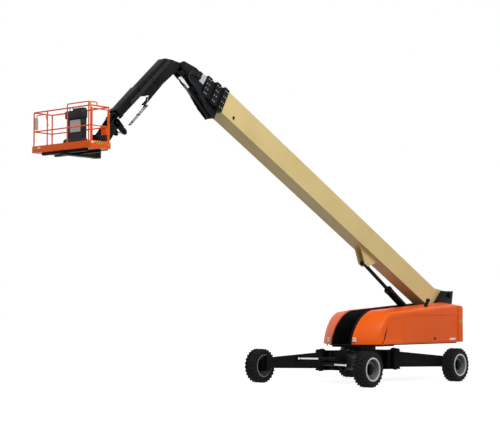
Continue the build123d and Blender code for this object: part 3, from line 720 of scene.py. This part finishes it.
class BOOMLIFT_OT_turntable(bpy.types.Operator):
    """Models the swept hoods, their doors, the cover between them, the uprights and the tail"""

    bl_idname = "boomlift.turntable"
    bl_label = "Model the turntable"

    def execute(self, context):
        front, rear, inner, outer, base = 0.985, -4.41, 0.42, 1.22, 1.31
        nose, shoulder, roof_end, roof_rear = 1.48, (0.5, 2.185), (-0.126, 2.483), 2.765
        sweep_from, sweep, fall, skirt, sheet = -0.65, 0.645, 0.1, 0.2, 0.03

        def arch(inset, back):
            """The hoods' side outline, drawn in by an inset."""
            bow = arc((front - inset, nose - inset), [part - inset * 0.7 for part in shoulder],
                      (roof_end[0], roof_end[1] - inset), 12)
            return [(back, base), (front - inset, base), *bow, (back, roof_rear - inset)]

        # hood: the arch's block, its outer side drawn back at the front and let down along the roof
        hood = slab("hood", [(rear, base - skirt), (front, base - skirt), *arch(0, rear)[2:]], inner, outer)
        pick_points(hood, lambda at: at.y > outer - 0.01 and at.x > sweep_from)
        bpy.ops.transform.resize(value=(sweep, 1, 1), center_override=(sweep_from, outer, base))
        pick_points(hood, lambda at: at.y > outer - 0.01 and at.z > 1.4)
        bpy.ops.transform.translate(value=(0, 0, -fall))
        modify(hood, "BEVEL", width=0.09, segments=4, limit_method="ANGLE", angle_limit=math.radians(40),
               use_clamp_overlap=False, loop_slide=False)
        cut(hood, (0, 0, base), Z * -1)
        pick(hood, lambda at, normal: normal.z < -0.9)
        bpy.ops.mesh.delete(type="FACE")
        seam = -1.06
        pick(hood, lambda at, normal: True)
        bpy.ops.mesh.bisect(plane_co=(seam, 0, 0), plane_no=X)
        # the raised outline on its cheek: the side face ahead of the door is inset twice
        pick(hood, lambda at, normal: at.x > seam and normal.y > 0.999)
        bpy.ops.mesh.inset(thickness=0.11)
        bpy.ops.mesh.inset(thickness=0.02, depth=-0.014)
        modify(hood, "SOLIDIFY", thickness=sheet, offset=-1)

        door_low = Vector((rear + 0.14, outer - 0.07, 1.345))
        door_high = Vector((seam, outer + 0.1, 2.285))
        door = place(hood, "door", Matrix.Identity(4))
        carve(door, block("tool", door_low, door_high, 0), "INTERSECT")
        gap = Vector((0.008, 0, 0.008))
        carve(hood, block("tool", door_low - gap, door_high + gap, 0), "DIFFERENCE")
        for side, name in ((1, "left"), (-1, "right")):
            flip = Matrix.Diagonal((1, side, 1, 1))
            made = place(hood, "swept_hood_" + name, flip)
            settle(made, "turntable", "orange baked enamel", 30)
            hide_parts("hood_" + name)
            made = place(door, "hood_door_" + name, flip)
            settle(made, "door_" + name, "orange baked enamel", 30)
            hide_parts("door_" + name)
        for source in (hood, door):
            bpy.data.objects.remove(source)

        # frame: deck, arched side plates, cover, uprights and the lift ram's ears
        half, plate = 0.4, 0.36
        pieces = [block("deck", (rear + 0.02, -1.14, 1.275), (0.2, 1.14, 1.315), 0.006),
                  block("nose", (0.2, -0.52, 1.275), (front - 0.06, 0.52, 1.315), 0.006),
                  block("bed", (-1.4, -0.52, 1.215), (0.8, 0.52, 1.275), 0.006),
                  block("beam", (-5.18, -half, 1.275), (rear + 0.03, half, 1.315), 0.006),
                  rod("lift_pin", Vector((-4.3, -0.205, 1.6)), Vector((-4.3, 0.205, 1.6)), 0.05, 0.004),
                  rod("boom_pin", BOOM_PIVOT - Y * 0.425, BOOM_PIVOT + Y * 0.425, 0.06, 0.004, 32)]
        for side in (-1, 1):
            y0, y1 = sorted((side * plate, side * half))
            pieces.append(slab("arch_plate", arch(0.02, rear), y0, y1, 0.003))
            pieces.append(slab("upright", [(-5.18, 1.275), (-3.96, 1.275), (-3.96, 2.6), (-5.18, 2.6)], y0,
                y1, 0.003))
            pieces.append(slab("ear", [(-5.18, 2.599), (-3.96, 2.599), (-4.55, 3.17), (-5.33, 3.17),
                (-5.24, 2.7)], y0, y1, 0.003))
            y0, y1 = sorted((side * 0.15, side * 0.19))
            pieces.append(slab("ram_ear", [(-4.46, 1.3), (-4.14, 1.3), (-4.21, 1.66), (-4.39, 1.66)], y0,
                y1, 0.003))
        cover = slab("cover", arch(0.02, 0.15), -plate, plate)
        carve(cover, slab("tool", [(x, z - 0.012) for x, z in arch(0.045, 0.1)], -plate - 0.1, plate + 0.1),
            "DIFFERENCE")
        cut(cover, (0, 0, 2.15), (0, 0, 1))
        pieces.append(cover)
        frame_piece = join("turntable_plates", pieces)
        settle(frame_piece, "turntable", "black two-pack paint")
        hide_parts("turntable_frame")

        # tail: a bowed weight whose top falls away behind
        tail = block("bowed_tail", (-5.33, -outer, base + 0.01), (rear - 0.008, outer, 2.64), 0)
        bow = arc((-4.7, outer), (-5.33, 0), (-4.7, -outer), 14)
        for (x0, y0), (x1, y1) in zip(bow, bow[1:]):
            cut(tail, (x0, y0, 0), (y1 - y0, x0 - x1, 0))
        cut(tail, (-4.42, 0, 2.64), (-0.16, 0, 1))
        cut(tail, (-4.9, 0, base + 0.01), (-0.35, 0, -1))
        carve(tail, block("tool", (-5.2, -half - 0.004, 1.2), (-4.3, half + 0.004, 3), 0), "DIFFERENCE")
        carve(tail, block("tool", (-5.4, -half - 0.004, 1.98), (-5.1, half + 0.004, 3), 0), "DIFFERENCE")
        rounded(tail, 0.05, 3)
        settle(tail, "turntable", "orange baked enamel", 30)
        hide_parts("counterweight")
        return {"FINISHED"}


class BOOMLIFT_OT_hood_trim(bpy.types.Operator):
    """Adds reflectors, latches, a plain plate, hazard tape and the exhaust's collars"""

    bl_idname = "boomlift.hood_trim"
    bl_label = "Trim the hoods"

    def execute(self, context):
        outer, base = 1.22, 1.31
        corner, rake = Vector((0.985, 0.48, 0)), math.atan2(0.325, 0.46)
        for side, name in ((1, "left"), (-1, "right")):
            marks = [lidded("mark", (-0.012, 0.02, z), (0.006, 0.15, z + 0.055), X, 0.008, -0.003, 0.003)
                     for z in (base + 0.1, base + 0.175)]
            pair = join("reflectors_" + name, marks)
            seat = Matrix.Translation(corner) @ Matrix.Rotation(rake * 0.62, 4, "Z")
            shift(pair, Matrix.Diagonal((1, side, 1, 1)) @ seat)
            settle(pair, "turntable", "white reflector plastic")

            face = side * outer
            y0, y1 = sorted((face - side * 0.002, face + side * 0.012))
            latch = lidded("latch_" + name, (-2.95, y0, 1.43), (-2.82, y1, 1.51), Y * side, 0.014, 0.006,
                0.003)
            settle(latch, "door_" + name, "black moulded plastic")
        plate = lidded("plain_plate", (-4.2, outer - 0.001, 1.4), (-3.84, outer + 0.003, 1.47), Y, 0.006,
            -0.001, 0.001)
        settle(plate, "door_left", "white reflector plastic")

        tape = block("tape_tail", (-4.69, outer - 0.02, 1.98), (-4.47, outer + 0.002, 2.1), 0.001)
        settle(tape, "turntable", "hazard tape")

        top = Vector((-3.0, 0.88, 2.85))
        lean = Vector((-0.3, 0, 0.4)).normalized()
        collars = []
        for d in (0.06, 0.3):
            collars.append(ring("collar", top - lean * d, top - lean * (d - 0.05), 0.061, 0.074, 0.004, 32))
        settle(join("exhaust_collars", collars), "turntable", "black section paint")
        return {"FINISHED"}


class BOOMLIFT_OT_boom_trim(bpy.types.Operator):
    """Adds wear-pad bolts, pin caps, the nose's plates, the port rings and the lift ram's gland"""

    bl_idname = "boomlift.boom_trim"
    bl_label = "Trim the boom"

    def execute(self, context):
        top, low = -0.173, -0.933
        rows = (("boom_base", 13.65, 0.311, -0.028), ("boom_mid", 13.99, 0.273, 0.01),
            ("boom_inner", 14.38, 0.239, 0.044))
        for body, u, half, step in rows:
            heads = []
            for side in (-1, 1):
                for part in (0.14, 0.38, 0.62, 0.86):
                    w = low + step + part * (top - low - 2 * step)
                    for ahead in (-0.045, 0.045):
                        heads.append(bolt("head", on_boom(u + ahead, side * half, w), Y * side, 0.014))
            for y in (-0.6, -0.2, 0.2, 0.6):
                heads.append(bolt("head", on_boom(u, y * half, top - step), BOOM_UP, 0.014))
            settle(join(body + "_pad_bolts", heads), body, "zinc plated steel")

        base_half, port_u, port_w = 0.283, 12.98, -0.778
        covers, discs = [], []
        for side in (-1, 1):
            inside = on_boom(port_u, side * (base_half - 0.002), port_w)
            covers.append(ring("port", inside, inside + Y * side * 0.01, 0.056, 0.078, 0.003, 40))
            discs.append(rod("disc", inside, inside + Y * side * 0.004, 0.057, 0.001, 40))
        settle(join("boom_port_discs", discs), "boom_base", "black section paint")
        settle(join("boom_port_rings", covers), "boom_base", "cream baked enamel")

        # grey plates on each flank of the nose, between the last collar and the elbow
        plates = []
        for side in (-1, 1):
            y0, y1 = sorted((side * 0.18, side * 0.186))
            plate = block("plate", (14.53, y0, -0.58), (14.73, y1, -0.28), 0)
            pick(plate, lambda at, normal: normal.z > 0.9)
            bpy.ops.transform.translate(value=(-0.04, 0, 0))
            rounded(plate, 0.002, 1)
            plate.data.transform(BOOM_FRAME)
            plates.append(plate)
        settle(join("nose_flank_grey_plates", plates), "boom_fly", "grey moulded plastic")

        caps = []
        for side in (-1, 1):
            elbow = on_boom(ELBOW[0], side * 0.1765, ELBOW[1])
            caps.append(rod("cap", elbow, elbow + Y * side * 0.022, 0.085, 0.006, 32))
            caps += bolt_circle(elbow + Y * side * 0.02, Y * side, (BOOM_ALONG, BOOM_UP), 0.065, 6, 0.009)
        settle(join("elbow_pin_caps", caps), "boom_fly", "black section paint")

        caps = []
        for side in (-1, 1):
            at = BOOM_PIVOT + Y * side * 0.425
            caps.append(rod("cap", at, at + Y * side * 0.03, 0.11, 0.008, 36))
            caps += bolt_circle(at + Y * side * 0.028, Y * side, (X, Z), 0.08, 6, 0.012)
        settle(join("boom_pin_caps", caps), "turntable", "black two-pack paint")

        foot = Vector(JOINTS["lift_ram_turn"]["pos_m"])
        along = Vector(JOINTS["lift_ram"]["axis"])
        gland_from, gland_to = foot + along * 2.93, foot + along * 3.012
        gland = ring("lift_ram_gland", gland_from, gland_to, 0.072, 0.15, 0.008, 48)
        settle(gland, "lift_barrel", "black section paint")
        return {"FINISHED"}


class BOOMLIFT_OT_jib(bpy.types.Operator):
    """Models the deep jib, its slide, the platform's bracket and the boom's front collar"""

    bl_idname = "boomlift.jib"
    bl_label = "Model the jib"

    def execute(self, context):
        half, bore = 0.15, 0.11
        deep = slab("deep", [(0.25, 0.3), (0.45, 0.03), (1.72, 0.06), (2.06, 0.278), (2.06, 0.53),
            (0.52, 0.59), (0.25, 0.36)], -half, half)
        slim = slab("slim", [(2.0, 0.27), (3.17, 0.235), (3.17, 0.498), (2.0, 0.56)], -half, half)
        collar = slab("collar", [(3.02, 0.222), (3.17, 0.217), (3.17, 0.516), (3.02, 0.522)], -half - 0.008,
            half + 0.008)
        for piece in (deep, slim, collar):
            carve(piece, block("tool", (0.6, -bore, 0.265), (3.4, bore, 0.475), 0), "DIFFERENCE")
            carve(piece, block("tool", (0.88, -0.07, -0.2), (3.4, 0.07, 0.3), 0), "DIFFERENCE")
            rounded(piece, 0.012)
        pieces = [deep, slim, collar]
        crank = Vector((0.155, -0.291))
        for side in (-1, 1):
            y0, y1 = sorted((side * 0.1, side * 0.14))
            pieces.append(slab("ear", [(-0.11, -0.03), (0.0, -0.12), (0.5, 0.05), (0.5, 0.5), (0.3, 0.39)],
                y0, y1, 0.004))
            pieces.append(slab("arm", [(crank.x - 0.07, crank.y - 0.01), (crank.x + 0.07, crank.y - 0.01),
                (0.32, 0.05), (-0.1, 0.05)], y0, y1, 0.004))
            for at, radius in ((Vector((0, 0)), 0.125), (crank, 0.07)):
                pieces.append(rod("boss", (at.x, y0, at.y), (at.x, y1, at.y), radius, 0.004, 40))
            # bolted doubler plates on the flanks
            y0, y1 = sorted((side * half, side * (half + 0.012)))
            pieces.append(slab("doubler", [(0.5, 0.1), (1.25, 0.1), (1.4, 0.3), (1.25, 0.5), (0.5, 0.53)],
                y0, y1, 0.004))
        jib = join("deep_jib", pieces)
        jib.data.transform(JIB_FRAME)
        settle(jib, "jib_base", "black two-pack paint")
        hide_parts("jib_base")

        end, low = Vector((3.4, 0.23)), 0.28
        foot, pin = Vector((1.0, 0, 0.03)), Vector((3.31, 0, -0.16))
        along = (pin - foot).normalized()
        lug = [(3.24, 0.13), (3.5, 0.13), (3.5, 0.4), (3.42, 0.46), (3.24, 0.46)]
        pieces = [block("tube", (0.9, -0.1, low), (3.42, 0.1, 0.46), 0.01),
                  slab("bracket", lug, -0.1, 0.1, 0.008),
                  rod("pin", (end.x, -0.2, end.y), (end.x, 0.2, end.y), 0.04, 0.004, 32),
                  block("hanger", (0.95, -0.04, 0.02), (1.06, 0.04, low + 0.01), 0.004),
                  ring("barrel", foot, foot + along * 1.05, 0.0285, 0.048, 0.005, 32),
                  ring("gland", foot + along * 1.0, foot + along * 1.056, 0.0285, 0.056, 0.005, 32)]
        fly = join("jib_slide", pieces)
        fly.data.transform(JIB_FRAME)
        settle(fly, "jib_fly", "black section paint")
        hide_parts("jib_fly")

        pieces = [block("neck", (11.87, -0.165, 6.98), (12.1, 0.165, 7.34), 0.02),
                  rod("rotator", (12.2, 0, 6.92), (12.2, 0, 7.4), 0.15, 0.012, 48),
                  ring("rotator_rim", (12.2, 0, 7.3), (12.2, 0, 7.36), 0.14, 0.165, 0.004, 48)]
        for side in (-1, 1):
            y0, y1 = sorted((side * 0.165, side * 0.195))
            pieces.append(slab("cheek", [(11.49, 7.7), (12.08, 6.96), (12.1, 7.38), (11.67, 7.92),
                (11.48, 7.88)], y0, y1, 0.005))
            pieces.append(slab("lever", [(11.2, 7.5), (11.31, 7.49), (11.62, 7.7), (11.62, 7.88),
                (11.5, 7.92), (11.19, 7.62)], y0, y1, 0.005))
            for x, z, radius in ((11.574, 7.801, 0.13), (11.254, 7.56, 0.075)):
                pieces.append(ring("boss", (x, y0, z), (x, y1, z), 0.0405, radius, 0.004, 40))
        support = join("platform_bracket", pieces)
        settle(support, "platform_support", "black two-pack paint")
        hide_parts("platform_support")

        # black front collar of the cream section
        sleeve = block("boom_collar", (13.545, -0.311, -0.961), (13.755, 0.311, -0.145), 0)
        carve(sleeve, block("tool", (13.4, -0.252, -0.902), (13.9, 0.252, -0.204), 0), "DIFFERENCE")
        rounded(sleeve, 0.006)
        sleeve.data.transform(BOOM_FRAME)
        settle(sleeve, "boom_base", "black section paint")
        return {"FINISHED"}


class BOOMLIFT_OT_hoses(bpy.types.Operator):
    """Runs the hydraulic hoses of the boom's nose, the jib and the level ram, with their clamps"""

    bl_idname = "boomlift.hoses"
    bl_label = "Run the hoses"

    def execute(self, context):
        radius = context.scene.boomlift_trim.hose_radius
        for side, name in ((1, "left"), (-1, "right")):
            lines = []
            for i in range(3):
                y = side * (0.205 + 0.002 * i)
                lift = 0.045 * i
                knots = ((14.72, -0.5, 1), (14.95, -0.52, 1), (15.16, -0.6, 1), (15.22, -0.74, 0.5),
                         (15.06, -0.84, 0.5), (14.8, -0.86, 1), (14.55, -0.93, 1), (14.2, -1.07, 1))
                lines.append(hose("line", [on_boom(u, y, w + lift * part) for u, w, part in knots], radius))
            settle(join("nose_hoses_" + name, lines), "boom_fly", "hydraulic hose rubber")
            inner, outer = sorted((side * 0.174, side * 0.226))
            clamp = block("nose_clamps_" + name, (14.82, inner, -0.54), (14.88, outer, -0.39), 0.006)
            settle(shift(clamp, BOOM_FRAME), "boom_fly", "black moulded plastic")

        lines = []
        for i in range(3):
            y, n = 0.178, 0.46 - 0.04 * i
            knots = ((0.45, 0.03), (0.9, 0), (1.5, -0.02), (2.2, -0.06), (2.6, -0.075))
            lines.append(hose("line", [on_jib(v, y, n + drop) for v, drop in knots], radius))
        settle(join("jib_side_hoses", lines), "jib_base", "hydraulic hose rubber")
        clamps = []
        for v, n in ((0.75, 0.35), (1.35, 0.33), (2.0, 0.29), (2.52, 0.28)):
            clamp = block("clamp", (v - 0.03, 0.148, n), (v + 0.03, 0.2, n + 0.145), 0.006)
            clamps.append(shift(clamp, JIB_FRAME))
        settle(join("jib_clamps", clamps), "jib_base", "black moulded plastic")

        lines = []
        for y in (-0.034, 0.0, 0.034):
            knots = ((1.75, 0.04), (1.95, -0.12), (2.3, -0.15), (2.6, -0.17), (2.85, -0.18))
            lines.append(hose("line", [on_jib(v, y, n) for v, n in knots], 0.015))
        settle(join("level_ram_lines", lines), "jib_fly", "pale hose sleeve")
        strap = slab("level_line_strap", [(1.9, -0.15), (2.87, -0.205), (2.87, -0.197), (1.9, -0.142)],
            -0.05, 0.05, 0.001)
        strap.data.transform(JIB_FRAME)
        settle(strap, "jib_fly", "black two-pack paint")
        bands = []
        for v, n, rise in ((2.02, -0.135, 0.045), (2.4, -0.158, 0.022), (2.75, -0.178, 0.022)):
            band = block("band", (v - 0.022, -0.056, n - 0.024), (v + 0.022, 0.056, n + rise), 0.006)
            bands.append(shift(band, JIB_FRAME))
        settle(join("level_line_bands", bands), "jib_fly", "black moulded plastic")
        return {"FINISHED"}


class BOOMLIFT_OT_platform_trim(bpy.types.Operator):
    """Models the platform's tray, rails and control stand and adds its tapes, lamp and boxes"""

    bl_idname = "boomlift.platform_trim"
    bl_label = "Fit out the platform"

    def execute(self, context):
        low, high = Vector((12.821, -0.4, 7.05)), Vector((13.08, 0.37, 8.08))
        floor_low, floor_high = Vector((12.76, -1.22, 6.87)), Vector((13.497, 1.217, 7.06))
        rail_low, rail_high = (Vector(corner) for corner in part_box("platform_rails"))
        tray = block("toe_board_tray", floor_low, floor_high, 0)
        pick(tray, lambda at, normal: normal.z > 0.9)
        bpy.ops.mesh.inset(thickness=0.012)
        bpy.ops.transform.translate(value=(0, 0, -0.15))
        rounded(tray, 0.004)
        settle(tray, "platform", "orange baked enamel")
        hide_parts("platform_floor")
        beams = [block("beam", (12.2, -0.12, 6.745), (13.42, 0.12, 6.869), 0.012),
                 block("beam", (12.84, -0.92, 6.79), (12.94, 0.92, 6.869), 0.01),
                 block("beam", (13.3, -0.92, 6.79), (13.4, 0.92, 6.869), 0.01),
                 rod("table", (12.2, 0, 6.745), (12.2, 0, 6.9195), 0.15, 0.01, 48)]
        settle(join("platform_underframe", beams), "platform", "black two-pack paint")

        x0, x1, side, foot, mid, top = 12.8, 13.46, 1.18, 6.91, 7.47, 8.01
        near, far, loop_top, hook, brace = 0.224, 1.097, top + 0.11, x1 - 0.03, x1 - 0.3
        routes = [([(x, -side, foot), (x, -side, top), (x, side, top), (x, side, foot)], 0.02)
                  for x in (x1, x0)]
        routes += [([(x0, y, top), (x1, y, top)], 0.02) for y in (-side, side)]
        routes += [([(x, -side, mid), (x, side, mid)], 0.018) for x in (x1, x0)]
        routes.append(([(x0, -side, mid), (x1, -side, mid)], 0.018))
        routes.append(([(x1, near, foot), (x1, near, loop_top), (x1, far, loop_top), (x1, far, foot)], 0.017))
        routes += [([(x, y, foot), (x, y, top)], 0.018) for x, y in ((x1, -0.614), (x0, -0.5), (x0, 0.5))]
        routes.append(([(hook, -1.1, mid), (hook, -1.1, 7.93), (hook, -0.72, 7.93), (hook, -0.61, 7.6)], 0.013))
        routes.append(([(x1, far, loop_top), (brace, far, loop_top), (brace, far, top)], 0.016))
        rails = [tube(points, radius) for points, radius in routes]
        cage = join("bent_rails", rails)
        settle(cage, "platform", "orange baked enamel", 60)
        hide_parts("platform_rails")
        back = low.x
        plinth = lidded("plinth", (back, low.y, low.z), (high.x, high.y, low.z + 0.16), Z, 0.07, -0.05,
            0.03)
        column = lidded("column", (back, low.y + 0.13, low.z + 0.15),
            (high.x - 0.07, high.y - 0.06, high.z - 0.25), X, 0.03, 0.012, 0.02)
        head = lidded("head", (back, low.y + 0.06, high.z - 0.29),
            (high.x - 0.01, high.y - 0.02, high.z - 0.06), Z, 0.03, 0.012, 0.03)
        hood = lidded("hood", (back + 0.02, low.y + 0.33, high.z - 0.1),
            (high.x - 0.08, high.y - 0.04, high.z), X, 0.02, 0.01, 0.02)
        stand = join("control_stand", [plinth, column, head, hood])
        settle(stand, "platform", "black moulded plastic")
        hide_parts("console")

        face = high.x - 0.07
        panel = lidded("stand_panel", (face - 0.014, low.y + 0.22, low.z + 0.36),
            (face + 0.003, high.y - 0.12, low.z + 0.7), X, 0.012, 0.003, 0.003)
        settle(panel, "platform", "grey moulded plastic")
        levers = []
        for y in (low.y + 0.17, low.y + 0.3):
            seat = Vector((high.x - 0.12, y, high.z - 0.075))
            boot = rod("boot", seat, seat + Z * 0.03, 0.03, 0.012, 24)
            stick = rod("stick", seat + Z * 0.025, seat + Vector((0.012, 0, 0.075)), 0.009, 0.003, 16)
            grip = rod("grip", seat + Vector((0.011, 0, 0.07)), seat + Vector((0.017, 0, 0.1)), 0.019,
                0.009, 20)
            levers += [boot, stick, grip]
        for i in range(5):
            seat = Vector((high.x - 0.06, low.y + 0.4 + 0.05 * i, high.z - 0.075))
            levers.append(rod("switch", seat, seat + Vector((0.004, 0, 0.035)), 0.006, 0.002, 12))
        settle(join("stand_levers", levers), "platform", "black moulded plastic")

        tapes = (("front_right", (floor_high.x - 0.001, floor_low.y + 0.02, floor_low.z + 0.1),
                  (floor_high.x + 0.003, floor_low.y + 0.19, floor_low.z + 0.17)),
                 ("left_front", (floor_high.x - 0.42, floor_high.y - 0.001, floor_low.z + 0.1),
                  (floor_high.x - 0.13, floor_high.y + 0.003, floor_low.z + 0.17)),
                 ("left_rear", (floor_low.x + 0.01, floor_high.y - 0.001, floor_low.z + 0.08),
                  (floor_low.x + 0.11, floor_high.y + 0.003, floor_low.z + 0.17)))
        for name, first, last in tapes:
            settle(block("tape_" + name, first, last, 0.001), "platform", "hazard tape")
        plates = [block("plate", (floor_high.x - 0.1, floor_high.y - 0.001, floor_low.z + 0.11),
                        (floor_high.x - 0.02, floor_high.y + 0.003, floor_low.z + 0.16), 0.001),
                  block("plate", (floor_high.x - 0.001, floor_low.y + 0.24, floor_low.z + 0.11),
                        (floor_high.x + 0.003, floor_low.y + 0.36, floor_low.z + 0.15), 0.001)]
        settle(join("plain_toe_plates", plates), "platform", "white reflector plastic")

        post = Vector((rail_high.x - 0.02, rail_low.y + 0.02, 0))
        at = post + Vector((-0.045, 0.045, 0))
        canister = rod("canister", at + Z * 7.54, at + Z * 7.86, 0.05, 0.01, 32)
        bands = [ring("band", at + Z * z, at + Z * (z + 0.03), 0.049, 0.054, 0.002, 32)
            for z in (7.6, 7.77)]
        settle(join("document_tube", [canister, *bands]), "platform", "grey moulded plastic")

        lamp_at = Vector((x1, 1.15, top - 0.02))
        base = rod("base", lamp_at, lamp_at + Z * 0.06, 0.03, 0.006, 24)
        dome = rod("dome", lamp_at + Z * 0.055, lamp_at + Z * 0.125, 0.034, 0.03, 24)
        settle(join("amber_lamp", [base, dome]), "platform", "amber lens plastic")

        back_rail = rail_low.x
        box = lidded("tool_box", (back_rail - 0.15, 0.85, 7.27), (back_rail + 0.004, 1.04, 7.5), X * -1,
            0.02, 0.006, 0.006)
        settle(box, "platform", "orange baked enamel")
        junction = lidded("junction_box", (back_rail - 0.14, 0.79, 7.1), (back_rail + 0.004, 1.03, 7.268),
            X * -1, 0.02, 0.006, 0.012)
        settle(junction, "platform", "black moulded plastic")
        return {"FINISHED"}


class BOOMLIFT_OT_stage(bpy.types.Operator):
    """Sets the floor, the light and the camera"""

    bl_idname = "boomlift.stage"
    bl_label = "Set the studio"

    def execute(self, context):
        studio = context.scene.boomlift_studio
        deselect()
        bpy.ops.mesh.primitive_plane_add(size=400, location=(0, 0, CAD_BOX[0][2]))
        floor = keep("studio_floor")
        tree = new_material("pale studio floor")[0]
        matt = add_node(tree, "ShaderNodeBsdfDiffuse", {"Color": to_linear("#9A9A9A")})
        glow = add_node(tree, "ShaderNodeEmission", {"Color": (1, 1, 1, 1), "Strength": studio.floor})
        both = add_node(tree, "ShaderNodeAddShader", {0: matt.outputs[0], 1: glow.outputs[0]})
        seen = add_node(tree, "ShaderNodeMixShader", {0: seen_rays(tree), 1: matt.outputs[0],
            2: both.outputs[0]})
        add_node(tree, "ShaderNodeOutputMaterial", {"Surface": seen.outputs[0]})
        floor.data.materials.append(MATERIALS["pale studio floor"])

        world = bpy.data.worlds.new("studio dome")
        context.scene.world = world
        world.use_nodes = True
        tree = world.node_tree
        tree.nodes.clear()
        lit = add_node(tree, "ShaderNodeBackground", {"Color": (1, 1, 1, 1), "Strength": studio.world})
        white = add_node(tree, "ShaderNodeBackground", {"Color": (1, 1, 1, 1), "Strength": 1.0})
        seen = add_node(tree, "ShaderNodeMixShader", {0: seen_rays(tree), 1: lit.outputs[0],
            2: white.outputs[0]})
        add_node(tree, "ShaderNodeOutputWorld", {"Surface": seen.outputs[0]})

        middle = (Vector(CAD_BOX[0]) + Vector(CAD_BOX[1])) / 2
        lamps = (("key lamp", middle + Vector((5, 18, 21)), 14.0, studio.key),
                 ("fill lamp", middle + Vector((26, 6, 6)), 12.0, studio.fill))
        for name, at, size, power in lamps:
            lamp = bpy.data.lights.new(name, "AREA")
            lamp.energy, lamp.size = power, size
            holder = bpy.data.objects.new(name, lamp)
            holder.location = at
            holder.rotation_euler = (middle - at).to_track_quat("-Z", "Y").to_euler()
            context.scene.collection.objects.link(holder)

        eye = bpy.data.cameras.new("photo camera")
        eye.lens, eye.sensor_width, eye.sensor_fit = studio.lens, 36.0, "HORIZONTAL"
        eye.clip_end = 500
        holder = bpy.data.objects.new("photo camera", eye)
        holder.location = studio.eye
        holder.rotation_euler = (studio.pitch, 0, studio.yaw)
        context.scene.collection.objects.link(holder)
        context.scene.camera = holder
        context.scene.view_settings.view_transform = "Standard"
        return {"FINISHED"}


class BOOMLIFT_PT_panel(bpy.types.Panel):
    """Lists the steps in the 3D view's sidebar"""

    bl_idname = "BOOMLIFT_PT_panel"
    bl_label = "Boom Lift"
    bl_space_type = "VIEW_3D"
    bl_region_type = "UI"
    bl_category = "Boom Lift"

    def draw(self, context):
        for step in STEPS:
            self.layout.operator(step.bl_idname)
        for group in ("boomlift_finish", "boomlift_studio", "boomlift_trim"):
            held = getattr(context.scene, group)
            for key in held.__annotations__:
                self.layout.prop(held, key)


STEPS = (BOOMLIFT_OT_finishes, BOOMLIFT_OT_tyres, BOOMLIFT_OT_wheels, BOOMLIFT_OT_chassis_trim,
    BOOMLIFT_OT_turntable, BOOMLIFT_OT_hood_trim, BOOMLIFT_OT_jib, BOOMLIFT_OT_boom_trim, BOOMLIFT_OT_hoses,
    BOOMLIFT_OT_platform_trim, BOOMLIFT_OT_stage)
GROUPS = {"boomlift_finish": BoomLiftFinish, "boomlift_studio": BoomLiftStudio,
    "boomlift_trim": BoomLiftTrim}


def register():
    for item in (*GROUPS.values(), *STEPS, BOOMLIFT_PT_panel):
        bpy.utils.register_class(item)
    for key, group in GROUPS.items():
        setattr(bpy.types.Scene, key, PointerProperty(type=group))


def unregister():
    for key in GROUPS:
        delattr(bpy.types.Scene, key)
    for item in reversed((*GROUPS.values(), *STEPS, BOOMLIFT_PT_panel)):
        bpy.utils.unregister_class(item)


def main():
    register()
    for step in STEPS:
        group, verb = step.bl_idname.split(".")
        getattr(getattr(bpy.ops, group), verb)()


if __name__ == "__main__":
    main()
